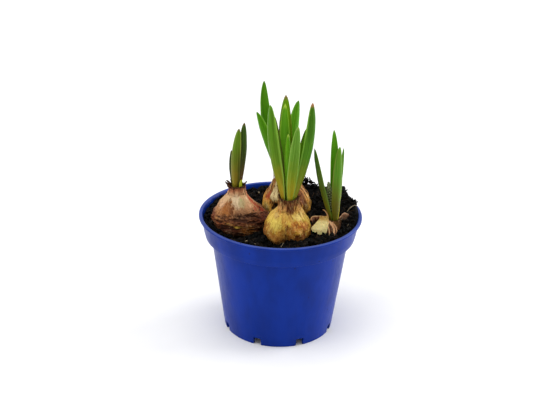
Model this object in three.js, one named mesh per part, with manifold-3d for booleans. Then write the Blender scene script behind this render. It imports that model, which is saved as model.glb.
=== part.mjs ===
// Grape hyacinths sprouting in a small round plastic pot: four bulbs of different sizes sit half out of
// dark potting compost and carry their first strap leaves, and the smallest one shows a flower bud.
//
// Units are millimetres and +Z is up. The origin is the centre of the pot's foot, on the surface that the
// pot stands on. An azimuth is measured from the front of the pot (-Y), and grows towards +X.
import * as THREE from "three";
import Module from "manifold-3d";
import { mergeVertices } from "three/addons/utils/BufferGeometryUtils.js";

const wasm = await Module();
wasm.setup();

// ---------------------------------------------------------------- driving dimensions

const GAP = 0.3; // air between two pieces that lie against each other

const POT = {
  height: 67.3,
  rimRadius: 45,
  lipHeight: 1.4,
  collarTopRadius: 43.6,
  creaseRadius: 42.2, // where the collar starts to narrow faster
  creaseZ: 58.2,
  collarFootRadius: 41.4,
  collarFootZ: 55.1,
  bodyTopRadius: 38.0,
  bodyTopZ: 53.4,
  footRadius: 30.6,
  footRing: 1.5, // width of the ring that the pot stands on
  edge: 0.5, // bevel of the lip and the foot
  wall: 1.0,
  ledgeRise: 1.2, // how far the step inside the wall lies above the step outside it
  lipWall: 0.4, // how far the mouth lies inside the collar's outer radius
  floorUnderside: 3.0,
  floorTop: 4.2,
  sides: 56,
};

const DRAIN = {
  count: 8,
  firstAzimuth: 23,
  width: 4.4,
  height: 4.5,
  innerRadius: 25.5,
  outerRadius: 33,
};

const SOIL = {
  level: 62.9, // in the middle of the pot
  dish: 2.5, // how much higher it lies at the wall
  wallGap: 0.45,
  edgeDrop: 0.3,
  aboveRim: 3.4, // how far the heap stands above the rim at the wall
  bulbGap: 0.35,
  bulbReach: 8, // how far up a bulb the heaps could touch it
  topRings: [39.6, 36.6, 33, 28.8, 24, 19, 13.5, 8, 3.5],
  sides: 48,
  crumbs: 44,
  crumbSeed: 11,
  crumbReach: 40, // crumbs lie within this radius, clear of the wall
  crumbRadius: [0.9, 2.1],
  crumbLift: 0.3, // how far a crumb's middle lies above the surface, as a share of its size
};

// Compost heaped against the wall from the right round to the back, where it stands above the rim.
const HEAPS = [
  { x: 36, y: 18, rise: 10.2, reachX: 8, reachY: 10 },
  { x: 15, y: 37, rise: 5.2, reachX: 10, reachY: 7 },
  { x: 27, y: 32, rise: 3.4, reachX: 8, reachY: 7 },
  { x: 40, y: 3, rise: 6, reachX: 6, reachY: 11 },
  { x: 31, y: -27, rise: 1.4, reachX: 9, reachY: 9 },
];

// Big clods on the heap: [x, y, height above the compost, size].
const CLODS = [
  [11.6, 37, 0.2, 2.1],
  [14.6, 36.8, 1.3, 1.9],
  [17, 36.3, 1.1, 1.6],
  [20, 34.6, -1, 1.8],
  [35.2, 19.6, -1.6, 2],
  [38.6, 11, -0.4, 1.9],
  [41, 5.4, 1, 1.8],
  [40.6, 1.6, 0.8, 1.5],
  [29, 28, -0.4, 2.1],
];

// A bulb's outline is a list of [radius, height] from its base plate to its neck. press lists the flats
// where it grew against a neighbour: [azimuth, distance from its own axis]. bend is the pair of heights
// between which its axis moves over from centre to neck. frays are the torn shreds of
// dry skin on the rim of the neck: [azimuth, height, outward lean, half its width in degrees].
const BULBS = {
  left: {
    centre: [-21.4, -2.6],
    neck: [-24.2, -4],
    bend: [64.8, 77],
    outline: [
      [5, 53.5], [10.5, 55], [14.6, 58.6], [16.6, 62], [16.9, 64.8], [16.3, 66.8], [14.6, 69.4],
      [12.5, 71.4], [9.5, 75.2], [6.5, 79], [5.1, 82], [4.9, 85.4],
    ],
    depthShare: 0.94,
    press: [[63, 15.3], [123, 15.2]],
    ribs: 9,
    ribHeight: 0.22,
    tunic: { height: 65.8, wave: 1.5, step: 0.7 },
    socketRadius: 4.2,
    frays: [
      [-98, 2.9, 1.3, 20], [-62, 1.4, 0.9, 26], [-20, 0.8, 0.2, 30], [35, 1.2, 0.1, 26], [82, 2.5, 1.4, 18],
      [112, 1.2, 0.6, 24], [165, 1.4, 0.5, 30], [-142, 1.9, 0.8, 24],
    ],
    colour: 0x9a6238,
  },
  centre: {
    centre: [3.8, -15.9],
    neck: [3.9, -16.6],
    bend: [66, 84],
    outline: [
      [4, 53], [8, 55.5], [11, 59], [12.5, 62.4], [12.9, 65.4], [12.5, 68.4], [11, 72], [8.2, 75.8],
      [6.3, 79], [5.7, 82], [5.6, 84.8],
    ],
    depthShare: 0.97,
    groove: { azimuth: -2, depth: 0.3, width: 13, apron: 45, fullBelow: 62, goneAbove: 78 },
    press: [[-116, 12.1], [176, 12.4]],
    ribs: 12,
    ribHeight: 0.16,
    socketRadius: 4.9,
    frays: [
      [-40, 1.3, 0.1, 30], [12, 0.7, 0.2, 26], [58, 1.2, 0.1, 24], [105, 1.6, 0.5, 26], [170, 1.4, 0.3, 30],
      [-120, 1.8, 0.6, 28],
    ],
    colour: 0xc9a04c,
  },
  rear: {
    centre: [3.3, 13.4],
    neck: [1.5, 11],
    bend: [76, 84],
    outline: [
      [4, 54], [8.8, 56.5], [12, 60.5], [13.5, 64], [13.8, 67], [13.2, 70], [11.4, 73.6], [9.2, 77],
      [7, 80.2], [5.5, 83], [5.2, 85.4],
    ],
    depthShare: 0.96,
    press: [[-57, 13.2], [0, 12.6]],
    ribs: 10,
    ribHeight: 0.18,
    tunic: { height: 70.5, wave: 2.4, step: 0.45 },
    socketRadius: 4.4,
    frays: [
      [-92, 1.9, 0.2, 26], [-40, 1.2, 0.3, 28], [20, 1.2, 0.3, 26], [75, 1.9, 0.7, 24], [140, 1.5, 0.4, 30],
      [-150, 2.1, 0.8, 24],
    ],
    colour: 0xb98443,
  },
  right: {
    centre: [24.9, -14.2],
    neck: [28.7, -14.3],
    bend: [63.4, 71],
    outline: [
      [2.2, 57], [4.4, 58.4], [5.6, 61], [6, 63.4], [5.8, 65.4], [5.1, 67.2], [4.2, 68.8], [3.5, 70],
      [3.2, 71],
    ],
    depthShare: 1,
    press: [],
    ribs: 8,
    ribHeight: 0.12,
    socketRadius: 2.6,
    frays: [
      [-88, 4.4, 2.8, 20], [-30, 0.9, 0.3, 30], [30, 0.7, 0.1, 26], [85, 0.8, 0.1, 26], [150, 1.2, 0.3, 30],
      [-150, 1.1, 0.3, 26],
    ],
    colour: 0xb08a58,
  },
};

const BULB = {
  sides: 26,
  neckShare: 0.42, // of the widest radius: narrower than this is neck, smooth and round
  bodyShare: 0.8, // of the widest radius: wider than this has the full ribs and groove
  plateDrop: 0.2, // how far the base plate stands out below the first outline point
  socketDepth: 5,
  shredThickness: 0.65,
  shredRim: 0.5, // height of the low rim that the shreds stand on
  shredStep: 0.15, // how far that rim stands outside the neck
};

// One strap leaf per row. root is [azimuth, distance from the neck's axis], tip and bow are millimetres
// from the middle of the neck's mouth: tip is where the leaf ends, and bow how far its middle bulges
// sideways. width is the widest blade, foot its width in the neck, and face the azimuth that its rounded
// outside turns to, first in the neck and then at the tip.
const LEAVES = {
  left: {
    front: {
      root: [-20, 2.1], tip: [1, -2.8, 33], bow: [-1.1, -0.5],
      width: 4.4, foot: 2.6, face: [-20, -10],
    },
    right: {
      root: [92, 2.1], tip: [3.9, 0, 36.2], bow: [0.9, 0.4],
      width: 4.8, foot: 2.6, face: [92, 36],
    },
    back: {
      root: [-108, 2.2], tip: [-3, 1.2, 19.8], bow: [-1.2, 0.2],
      width: 3.2, foot: 2.3, face: [-108, -70],
    },
    sheath: {
      root: [39, 2.8], tip: [2.9, -3.2, 4.8], bow: [0, 0],
      width: 1.5, foot: 1.1, face: [37, 36],
    },
  },
  centre: {
    left: {
      root: [-60, 2.9], tip: [-10.6, -3.4, 53.3], bow: [-2, -0.3],
      width: 6.1, foot: 2.5, face: [-60, -24],
    },
    leftInner: {
      root: [-88, 1.45], tip: [-9.4, 0.5, 46.4], bow: [-1.8, 0.6],
      width: 5, foot: 1.4, face: [-88, -44],
    },
    back: {
      root: [178, 2.9], tip: [-2.6, 8.4, 54.9], bow: [-1.3, 0.6],
      width: 6.3, foot: 3.4, face: [178, 192],
    },
    middle: {
      root: [178, 1.5], tip: [-2.9, 2.6, 52], bow: [-1, 0.2],
      width: 5.5, foot: 1.6, face: [178, 180],
    },
    small: {
      root: [2, 1.5], tip: [-1, -1.4, 36.8], bow: [-0.4, -0.2],
      width: 2.5, foot: 1.6, face: [2, -4],
    },
    front: {
      root: [4, 2.95], tip: [4.1, -7.3, 43.2], bow: [-0.6, -1.2],
      width: 5.6, foot: 2.3, face: [4, 6],
    },
    right: {
      root: [70, 2.9], tip: [11.2, 0.6, 53.4], bow: [2.8, -0.3],
      width: 6.2, foot: 2.5, face: [70, 36],
    },
    rightInner: {
      root: [92, 1.5], tip: [8.5, 3.8, 38], bow: [0.6, 0.6],
      width: 4, foot: 1.4, face: [92, 52],
    },
  },
  rear: {
    tall: {
      root: [-146, 2.2], tip: [-11.9, 1.4, 54.5], bow: [-3, 0.5],
      width: 5.5, foot: 2.8, face: [-140, -172],
    },
    left: {
      root: [-40, 2.2], tip: [-15.6, -4.8, 38.8], bow: [-0.2, -0.6],
      width: 5, foot: 2.8, face: [-46, -38],
    },
    right: {
      root: [66, 2.6], tip: [7, 3.4, 42.8], bow: [-0.5, 0.4],
      width: 5.5, foot: 3.2, face: [66, 14],
    },
  },
  right: {
    left: {
      root: [-62, 0.9], tip: [-11.8, -1.2, 41.2], bow: [-1.6, -0.9],
      width: 3.2, foot: 1.5, face: [-62, -44],
    },
    back: {
      root: [174, 1.5], tip: [-1.6, 5.6, 49.4], bow: [0.4, 1.6],
      width: 4.4, foot: 1.5, face: [176, 186],
    },
    front: {
      root: [30, 1.85], tip: [1.5, -2.8, 43.2], bow: [-0.2, -1.4],
      width: 4.7, foot: 1.8, face: [30, 14],
    },
    thin: {
      root: [94, 1.9], tip: [4, 2.2, 38.8], bow: [0.1, 0.1],
      width: 2.2, foot: 1, face: [100, 76],
    },
  },
};

const LEAF = {
  stations: [0, 0.1, 0.22, 0.36, 0.5, 0.62, 0.73, 0.82, 0.9, 0.96],
  across: [-1, -0.42, 0.42, 1], // places across the blade, as shares of its half width
  thickness: [0.66, 1.2, 0.8], // foot, middle, tip
  thickEdge: 0.62,
  channel: [0.3, 0.44, 0.62], // depth of the channel as a share of the half width: foot, middle, tip
  tipShare: 0.34, // share of the length over which the blade narrows to its point
  tipFullness: 0.58,
  neckRise: 3, // how far above the neck's mouth the leaf still rises almost straight
  neckDrift: 0.1, // share of its lean that it has there
  bellyAt: 0.55,
  bowPull: 1.9,
  straightBelow: 10, // a leaf that ends lower than this above the mouth doesn't bow
};

const BUD = {
  root: [0.1, 0], // from the middle of the right bulb's neck
  lean: [-3.7, 0.6],
  sides: 8,
  stemRadius: 0.55,
  headFoot: 7, // heights above the neck's mouth
  headTop: 21.5,
  headRadius: 1.35,
  coreShare: 0.8, // radius of the smooth core inside the florets
  rows: 8,
  floretRadius: 0.85,
  floretPitch: 1.9,
  floretInset: 0.86,
};

// Papery skins that have come away from the small bulb. A scrap wraps round the bulb between two
// azimuths and two heights, just clear of it, and peels outward towards its last azimuth. tear is the
// depth of the torn notches in its lower edge.
const SCRAPS = {
  front: { azimuths: [-8, -98], heights: [65, 71], peel: 1.9, tear: 1.2, seed: 50, colour: 0xd8c690 },
  strip: { azimuths: [2, 27], heights: [64.6, 70.6], peel: 0.4, tear: 1.4, seed: 35, colour: 0x9a7048 },
};
const SCRAP = {
  thickness: 0.65,
  clearance: 0.4,
  columns: 8,
  rows: 4,
  curlPower: 2.4, // how suddenly the peeling starts
  topHold: 0.35, // how much less the upper edge peels
};

// Dry skins that stand away from the small bulb, as rows of points from the bulb outward: a rim that
// arches over the hollow at its left, and a scale that lies at its right.
const FLAKES = {
  rim: {
    rows: [
      [[25, -10.5, 70], [25, -11.3, 70], [24.7, -12.1, 69.5]],
      [[22.2, -9.9, 70.8], [22.1, -11, 70.9], [21.7, -12, 70.2]],
      [[19.4, -9.8, 71], [19.1, -11, 71.2], [18.8, -12.2, 70.5]],
      [[17.4, -11.2, 70.6], [17.3, -12.4, 70.7], [17.6, -13.6, 70.1]],
      [[16.7, -13.4, 69.4], [16.9, -14.4, 69.4], [17.4, -15.3, 68.9]],
    ],
    colour: 0xb78b62,
  },
  scale: {
    rows: [
      [[31.6, -11.4, 69], [31.9, -10.6, 69.2], [31.7, -9.6, 69]],
      [[33.4, -10.2, 68.8], [33.4, -8.2, 69.9], [32.6, -6.4, 68.9]],
      [[35.6, -8, 68.6], [35.3, -5.6, 69.9], [34, -3.6, 69]],
      [[37.4, -5.6, 69], [37, -4.2, 69.8], [36.2, -3, 69.4]],
    ],
    colour: 0x7d5a42,
  },
};

// ---------------------------------------------------------------- helpers

const radians = THREE.MathUtils.degToRad;
const lerp = THREE.MathUtils.lerp;
const { sin, cos, hypot, min, max, PI, sqrt, exp, abs } = Math;

// The level unit vector that points to an azimuth.
const towards = (azimuth) => new THREE.Vector3(sin(radians(azimuth)), -cos(radians(azimuth)), 0);

// 0 below a, 1 above b, smooth between.
const ease = (x, a, b) => THREE.MathUtils.smoothstep(x, a, b);

// A repeatable draw of numbers from 0 to 1.
function dice(seed) {
  let state = seed;
  return () => {
    state = (state * 1664525 + 1013904223) % 4294967296;
    return state / 4294967296;
  };
}

// A closed surface through rings of points. Each ring turns the same way, anticlockwise as seen from
// where the last ring lies, and the ends are closed to the points start and end.
function skin(rings, start, end) {
  const count = rings[0].length;
  const points = [start, ...rings.flat(), end];
  const id = (ring, k) => 1 + ring * count + (k % count);
  const faces = [];
  for (let k = 0; k < count; k++) {
    faces.push(0, id(0, k + 1), id(0, k));
    for (let ring = 0; ring < rings.length - 1; ring++) {
      const [a, b, c, d] = [id(ring, k), id(ring, k + 1), id(ring + 1, k + 1), id(ring + 1, k)];
      faces.push(a, b, c, a, c, d);
    }
    faces.push(points.length - 1, id(rings.length - 1, k), id(rings.length - 1, k + 1));
  }
  return new THREE.BufferGeometry().setFromPoints(points).setIndex(faces);
}

// A closed sheet of even thickness round a grid of points, given row by row.
function sheet(rows, thickness) {
  const [high, wide] = [rows.length, rows[0].length];
  const at = (i, k) => rows[max(0, min(high - 1, i))][max(0, min(wide - 1, k))];
  const points = [1, -1].flatMap((face) =>
    rows.flatMap((row, i) =>
      row.map((point, k) => {
        const along = new THREE.Vector3().subVectors(at(i, k + 1), at(i, k - 1));
        const normal = new THREE.Vector3().subVectors(at(i + 1, k), at(i - 1, k)).cross(along).normalize();
        return point.clone().addScaledVector(normal, (face * thickness) / 2);
      }),
    ),
  );
  const id = (face, i, k) => face * high * wide + i * wide + k;
  const faces = [];
  const quad = (a, b, c, d) => faces.push(a, b, c, a, c, d);
  for (let i = 0; i < high - 1; i++) {
    for (let k = 0; k < wide - 1; k++) {
      quad(id(0, i, k), id(0, i + 1, k), id(0, i + 1, k + 1), id(0, i, k + 1));
      quad(id(1, i + 1, k), id(1, i, k), id(1, i, k + 1), id(1, i + 1, k + 1));
    }
    quad(id(1, i, 0), id(1, i + 1, 0), id(0, i + 1, 0), id(0, i, 0));
    quad(id(0, i, wide - 1), id(0, i + 1, wide - 1), id(1, i + 1, wide - 1), id(1, i, wide - 1));
  }
  for (let k = 0; k < wide - 1; k++) {
    quad(id(0, 0, k), id(0, 0, k + 1), id(1, 0, k + 1), id(1, 0, k));
    quad(id(1, high - 1, k), id(1, high - 1, k + 1), id(0, high - 1, k + 1), id(0, high - 1, k));
  }
  return new THREE.BufferGeometry().setFromPoints(points).setIndex(faces);
}

function solidOf(geometry) {
  const bare = geometry.clone();
  bare.deleteAttribute("normal");
  bare.deleteAttribute("uv");
  const merged = mergeVertices(bare, 1e-4);
  return new wasm.Manifold(
    new wasm.Mesh({
      numProp: 3,
      vertProperties: merged.attributes.position.array,
      triVerts: new Uint32Array(merged.index.array),
    }),
  );
}

function geometryOf(solid) {
  const mesh = solid.getMesh();
  const geometry = new THREE.BufferGeometry();
  geometry.setAttribute("position", new THREE.BufferAttribute(new Float32Array(mesh.vertProperties), 3));
  geometry.setIndex(new THREE.BufferAttribute(new Uint32Array(mesh.triVerts), 1));
  return geometry;
}

// The largest body of a solid, without the loose scraps that a cut can leave.
const wholeOf = (solid) => solid.decompose().sort((a, b) => b.volume() - a.volume())[0];

// A ring of points about the Z axis.
const circle = (radius, z, sides) =>
  Array.from({ length: sides }, (_, k) => {
    const turn = (2 * PI * k) / sides;
    return new THREE.Vector3(radius * cos(turn), radius * sin(turn), z);
  });

// ---------------------------------------------------------------- pot

// Radius of the inside of the pot's wall at a height.
function insideRadius(z) {
  const steps = [
    [POT.floorTop, POT.footRadius - POT.wall],
    [POT.bodyTopZ + POT.ledgeRise, POT.bodyTopRadius - POT.wall],
    [POT.collarFootZ + POT.ledgeRise, POT.collarFootRadius - POT.wall],
    [POT.creaseZ, POT.creaseRadius - POT.wall],
    [POT.height - POT.lipHeight, POT.collarTopRadius - POT.wall],
    [POT.height, POT.collarTopRadius - POT.lipWall],
  ];
  for (let i = 1; i < steps.length; i++) {
    const [[z0, r0], [z1, r1]] = [steps[i - 1], steps[i]];
    if (z <= z1 || i === steps.length - 1) return lerp(r0, r1, max(0, min(1, (z - z0) / (z1 - z0))));
  }
}

function potGeometry() {
  const lipZ = POT.height - POT.lipHeight;
  const { edge, rimRadius, footRadius, footRing } = POT;
  const insideHeights = [lipZ, POT.creaseZ, POT.collarFootZ + POT.ledgeRise, POT.bodyTopZ + POT.ledgeRise];
  const profile = [
    [footRadius - 0.2 - footRing - 0.4, POT.floorUnderside],
    [footRadius - 0.2 - footRing, 0],
    [footRadius - 0.2, 0],
    [footRadius + 0.1, edge],
    [POT.bodyTopRadius, POT.bodyTopZ],
    [POT.collarFootRadius, POT.collarFootZ],
    [POT.creaseRadius, POT.creaseZ],
    [POT.collarTopRadius, lipZ],
    [rimRadius - edge, lipZ],
    [rimRadius, lipZ + edge],
    [rimRadius, POT.height - edge],
    [rimRadius - edge, POT.height],
    [insideRadius(POT.height) + 0.4, POT.height],
    ...[...insideHeights, POT.floorTop].map((z) => [insideRadius(z), z]),
  ];
  return skin(
    profile.map(([r, z]) => circle(r, z, POT.sides)),
    new THREE.Vector3(0, 0, POT.floorUnderside),
    new THREE.Vector3(0, 0, POT.floorTop),
  );
}

// One of the slots where the wall meets the floor, through which water drains.
function drainSlot(azimuth) {
  const reach = DRAIN.outerRadius - DRAIN.innerRadius;
  const box = new THREE.BoxGeometry(reach, DRAIN.width, 2 * DRAIN.height);
  box.translate((DRAIN.outerRadius + DRAIN.innerRadius) / 2, 0, 0);
  box.rotateZ(radians(azimuth - 90));
  return solidOf(box);
}

function pot() {
  let body = solidOf(potGeometry());
  for (let k = 0; k < DRAIN.count; k++) {
    body = body.subtract(drainSlot(DRAIN.firstAzimuth + (360 / DRAIN.count) * k));
  }
  return wholeOf(body);
}

// ---------------------------------------------------------------- bulbs

const widestOf = (bulb) => bulb.outline.reduce((a, b) => (b[0] > a[0] ? b : a));
const mouthZ = (bulb) => bulb.outline.at(-1)[1];
const plateZ = (bulb) => bulb.outline[0][1] - BULB.plateDrop;
const socketZ = (bulb) => mouthZ(bulb) - BULB.socketDepth;

// Angle from one azimuth to another, from -180 to 180.
const turnTo = (azimuth, from) => THREE.MathUtils.euclideanModulo(azimuth - from + 180, 360) - 180;

// Where the axis of a bulb runs at a height: it leans from its middle to its neck.
function bulbAxis(bulb, z) {
  const share = ease(z, ...bulb.bend);
  return [0, 1].map((axis) => lerp(bulb.centre[axis], bulb.neck[axis], share));
}

// How deep the groove between two lobes cuts, as a share of the radius.
function grooveAt(groove, z, azimuth) {
  const off = turnTo(azimuth, groove.azimuth);
  const low = 1 - ease(z, groove.fullBelow, groove.goneAbove);
  const across = exp(-((off / groove.width) ** 2)) + 0.2 * exp(-((off / groove.apron) ** 2));
  return groove.depth * lerp(0.35, 1, low) * across;
}

// How far the bulb lies inside its papery tunic, below the tunic's wavy lower edge.
function tunicStep(tunic, z, turn) {
  const edge = tunic.height + tunic.wave * (sin(2.3 * turn + 1) + 0.5 * sin(5.1 * turn));
  return tunic.step * (1 - ease(z, edge - 0.5, edge + 0.5));
}

// Radius of a bulb in one direction, for a point of its outline.
function bulbRadius(bulb, radius, z, azimuth) {
  const turn = radians(azimuth);
  const body = ease(radius / widestOf(bulb)[0], BULB.neckShare, BULB.bodyShare);
  const depth = lerp(1, bulb.depthShare, body);
  let r = radius / hypot(sin(turn), cos(turn) / depth);
  if (bulb.groove) r *= 1 - body * grooveAt(bulb.groove, z, azimuth);
  if (bulb.tunic) r -= body * tunicStep(bulb.tunic, z, turn);
  for (const [flatAzimuth, distance] of bulb.press) {
    const facing = cos(radians(azimuth - flatAzimuth));
    if (facing > 0.2) r = min(r, distance / facing);
  }
  return r + bulb.ribHeight * body * sin(bulb.ribs * (turn + 0.08 * z));
}

// Radius of a bulb in one direction at any height.
function bulbRadiusAt(bulb, z, azimuth) {
  const i = max(1, bulb.outline.findIndex(([, height]) => height > z));
  const [[r0, z0], [r1, z1]] = [bulb.outline[i - 1], bulb.outline[i]];
  return bulbRadius(bulb, lerp(r0, r1, min(1, (z - z0) / (z1 - z0))), z, azimuth);
}

// A ring round a bulb, with a height and an outward lean added to each of its points.
function bulbRing(bulb, radius, z, { grow = 0, shred = () => [0, 0] } = {}) {
  const [x, y] = bulbAxis(bulb, z);
  return Array.from({ length: BULB.sides }, (_, k) => {
    const azimuth = (360 * k) / BULB.sides;
    const [height, lean] = shred(azimuth);
    const r = bulbRadius(bulb, radius, z, azimuth) + grow + lean;
    const way = towards(azimuth);
    return new THREE.Vector3(x + r * way.x, y + r * way.y, z + height);
  });
}

// Height and outward lean of the torn skin on the neck's rim, in a direction.
const shredAt = (bulb) => (azimuth) =>
  bulb.frays.reduce(
    ([height, lean], [middle, tall, out, halfWidth]) => {
      const share = max(0, 1 - abs(turnTo(azimuth, middle)) / halfWidth);
      return [height + tall * share, lean + out * share];
    },
    [BULB.shredRim, 0],
  );

// The buried and lower part of a bulb, grown by a clearance: the room that the compost leaves for it.
function bulbRoom(bulb, grow) {
  const above = bulb.outline.findIndex(([, z]) => z > SOIL.level + SOIL.bulbReach);
  const buried = bulb.outline.slice(0, above + 1);
  const widestZ = widestOf(bulb)[1];
  const bottom = plateZ(bulb) - grow;
  const rings = buried.map(([r, z]) => bulbRing(bulb, r, z < widestZ ? z - grow : z, { grow }));
  const foot = bulbRing(bulb, bulb.outline[0][0], bottom, { grow });
  const top = buried.at(-1)[1];
  return skin(
    [foot, ...rings],
    new THREE.Vector3(...bulb.centre, bottom),
    new THREE.Vector3(...bulbAxis(bulb, top), top),
  );
}

// The bulb, with the torn skin on its neck and the socket that its leaves rise from.
function bulbGeometry(bulb) {
  const [mouthRadius, top] = bulb.outline.at(-1);
  const shred = shredAt(bulb);
  const outside = bulb.outline.map(([r, z]) => bulbRing(bulb, r, z));
  const shredOut = bulbRing(bulb, mouthRadius, top, { grow: BULB.shredStep, shred });
  const shredIn = bulbRing(bulb, mouthRadius, top, { grow: BULB.shredStep - BULB.shredThickness, shred });
  const socketAt = (z) =>
    Array.from({ length: BULB.sides }, (_, k) => {
      const way = towards((360 * k) / BULB.sides).multiplyScalar(bulb.socketRadius);
      return way.add(new THREE.Vector3(...bulb.neck, z));
    });
  return skin(
    [...outside, shredOut, shredIn, socketAt(top - 0.2), socketAt(socketZ(bulb))],
    new THREE.Vector3(...bulb.centre, plateZ(bulb)),
    new THREE.Vector3(...bulb.neck, socketZ(bulb)),
  );
}

// A scrap of papery skin round a bulb.
function scrapGeometry(bulb, scrap) {
  const roll = dice(scrap.seed);
  const notches = Array.from({ length: SCRAP.columns }, () => scrap.tear * roll());
  const rows = Array.from({ length: SCRAP.rows }, (_, i) =>
    notches.map((notch, k) => {
      const up = i / (SCRAP.rows - 1);
      const round = k / (SCRAP.columns - 1);
      const azimuth = lerp(...scrap.azimuths, round);
      const peeled = scrap.peel * round ** SCRAP.curlPower * (1 - SCRAP.topHold * up);
      const z = lerp(scrap.heights[0] + notch, scrap.heights[1], up);
      const [x, y] = bulbAxis(bulb, z);
      const r = bulbRadiusAt(bulb, z, azimuth) + SCRAP.clearance + SCRAP.thickness / 2 + peeled;
      const way = towards(azimuth);
      return new THREE.Vector3(x + r * way.x, y + r * way.y, z);
    }),
  );
  return sheet(rows, SCRAP.thickness);
}

// ---------------------------------------------------------------- leaves

// A value along a blade, from its values at the foot, the middle and the tip.
const alongBlade = ([foot, middle, tip], t) =>
  t < 0.5 ? lerp(foot, middle, 2 * t) : lerp(middle, tip, 2 * t - 1);

// Half width, thickness and channel depth of a blade at a place from 0 to 1 along it.
function bladeAt(leaf, t) {
  const swollen = lerp(leaf.foot, leaf.width, ease(t, 0, 0.5)) / 2;
  const into = max(0, (t - (1 - LEAF.tipShare)) / LEAF.tipShare);
  const half = swollen * (1 - into * into) ** LEAF.tipFullness;
  return { half, thick: alongBlade(LEAF.thickness, t), channel: half * alongBlade(LEAF.channel, t) };
}

// The middle line of a leaf: it rises from its seat in the socket, bows out and ends at the tip.
function leafPath(bulb, leaf) {
  const mouth = new THREE.Vector3(...bulb.neck, mouthZ(bulb));
  const [azimuth, distance] = leaf.root;
  const seat = towards(azimuth).multiplyScalar(distance).add(mouth);
  seat.z = socketZ(bulb) + GAP;
  const tip = new THREE.Vector3(...leaf.tip).add(mouth);
  if (leaf.tip[2] < LEAF.straightBelow) return new THREE.LineCurve3(seat, tip);
  const neck = seat.clone().lerp(tip, LEAF.neckDrift).setZ(mouth.z + LEAF.neckRise);
  const bow = new THREE.Vector3(...leaf.bow, 0).multiplyScalar(LEAF.bowPull);
  const belly = seat.clone().lerp(tip, LEAF.bellyAt).add(bow);
  return new THREE.CubicBezierCurve3(seat, neck, belly, tip);
}

function leafGeometry(bulb, leaf) {
  const path = leafPath(bulb, leaf);
  const rings = LEAF.stations.map((t) => {
    const at = path.getPoint(t);
    const run = path.getTangent(t);
    const out = towards(lerp(...leaf.face, ease(t, 0, 0.7)));
    out.addScaledVector(run, -out.dot(run)).normalize();
    const side = new THREE.Vector3().crossVectors(run, out);
    const { half, thick, channel } = bladeAt(leaf, t);
    const point = (s, face) => {
      const thickness = lerp(LEAF.thickEdge, thick, 1 - s * s) * min(1, 0.55 + half);
      return at
        .clone()
        .addScaledVector(side, s * half)
        .addScaledVector(out, -channel * s * s + (face * thickness) / 2);
    };
    const outer = LEAF.across.map((s) => point(s, 1));
    const inner = LEAF.across.map((s) => point(-s, -1));
    return [...outer, ...inner];
  });
  const middle = (ring) => ring.reduce((a, p) => a.add(p), new THREE.Vector3()).divideScalar(ring.length);
  return bladeSkin(rings, middle(rings[0]), path.getPoint(1));
}

// As skin, but for a blade: the ring's first half is one face and its second half the other, and both
// faces are split along the same diagonals, so that they never cross.
function bladeSkin(rings, start, end) {
  const count = rings[0].length;
  const points = [start, ...rings.flat(), end];
  const id = (ring, k) => 1 + ring * count + (k % count);
  const faces = [];
  for (let k = 0; k < count; k++) {
    faces.push(0, id(0, k + 1), id(0, k));
    for (let ring = 0; ring < rings.length - 1; ring++) {
      const [a, b, c, d] = [id(ring, k), id(ring, k + 1), id(ring + 1, k + 1), id(ring + 1, k)];
      if (k < count / 2) faces.push(a, b, c, a, c, d);
      else faces.push(a, b, d, b, c, d);
    }
    faces.push(points.length - 1, id(rings.length - 1, k), id(rings.length - 1, k + 1));
  }
  return new THREE.BufferGeometry().setFromPoints(points).setIndex(faces);
}

// ---------------------------------------------------------------- flower bud

// Radius of the flower head at a share of its length.
function headRadius(share) {
  const foot = lerp(0.55, 1, ease(share, 0, 0.3));
  return BUD.headRadius * foot * sqrt(max(0, 1 - share ** 2.2)) + 0.15;
}

// The young flower spike: a short stem and a tapering head covered in rows of closed round florets.
function bud(bulb) {
  const z0 = mouthZ(bulb);
  const seat = socketZ(bulb) + GAP;
  const headZ = (share) => z0 + lerp(BUD.headFoot, BUD.headTop, share);
  const axisAt = (z) => {
    const share = ease(z, z0, z0 + BUD.headTop);
    const [x, y] = [0, 1].map((axis) => bulb.neck[axis] + BUD.root[axis] + BUD.lean[axis] * share);
    return new THREE.Vector3(x, y, z);
  };
  const rows = [
    [seat, BUD.stemRadius],
    [z0 + 1, BUD.stemRadius],
    [headZ(0) - 1, BUD.stemRadius],
    ...[0, 0.25, 0.5, 0.75, 0.94].map((share) => [headZ(share), headRadius(share) * BUD.coreShare]),
  ];
  const ring = ([z, r]) => circle(r, 0, BUD.sides).map((p) => p.add(axisAt(z)));
  let head = solidOf(skin(rows.map(ring), axisAt(seat), axisAt(headZ(1))));
  for (let row = 0; row < BUD.rows; row++) {
    const share = (row + 0.35) / BUD.rows;
    const around = headRadius(share);
    const count = max(3, Math.round((2 * PI * around) / BUD.floretPitch));
    for (let k = 0; k < count; k++) {
      const turn = (2 * PI * (k + 0.5 * (row % 2))) / count;
      const floret = new THREE.IcosahedronGeometry(BUD.floretRadius * (1 - 0.35 * share), 0);
      floret.scale(1, 1, 1.25);
      const at = axisAt(headZ(share));
      const out = around * BUD.floretInset;
      floret.translate(at.x + out * cos(turn), at.y + out * sin(turn), at.z);
      head = head.add(solidOf(floret));
    }
  }
  return head;
}

// ---------------------------------------------------------------- compost

// Height of the compost at a place: a shallow dish, the heaps, and lumps of a few sizes.
function soilTop(x, y) {
  const heaps = HEAPS.reduce(
    (sum, h) => sum + h.rise * exp(-(((x - h.x) / h.reachX) ** 2) - ((y - h.y) / h.reachY) ** 2),
    0,
  );
  const dish = SOIL.dish * (hypot(x, y) / insideRadius(POT.height)) ** 4;
  const lumps =
    0.5 * sin(0.31 * x + 1.3) * cos(0.27 * y - 0.4) +
    0.35 * sin(0.63 * x - 0.52 * y + 2.1) +
    0.25 * cos(0.9 * x + 0.71 * y);
  return SOIL.level + dish + heaps + lumps;
}

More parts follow.
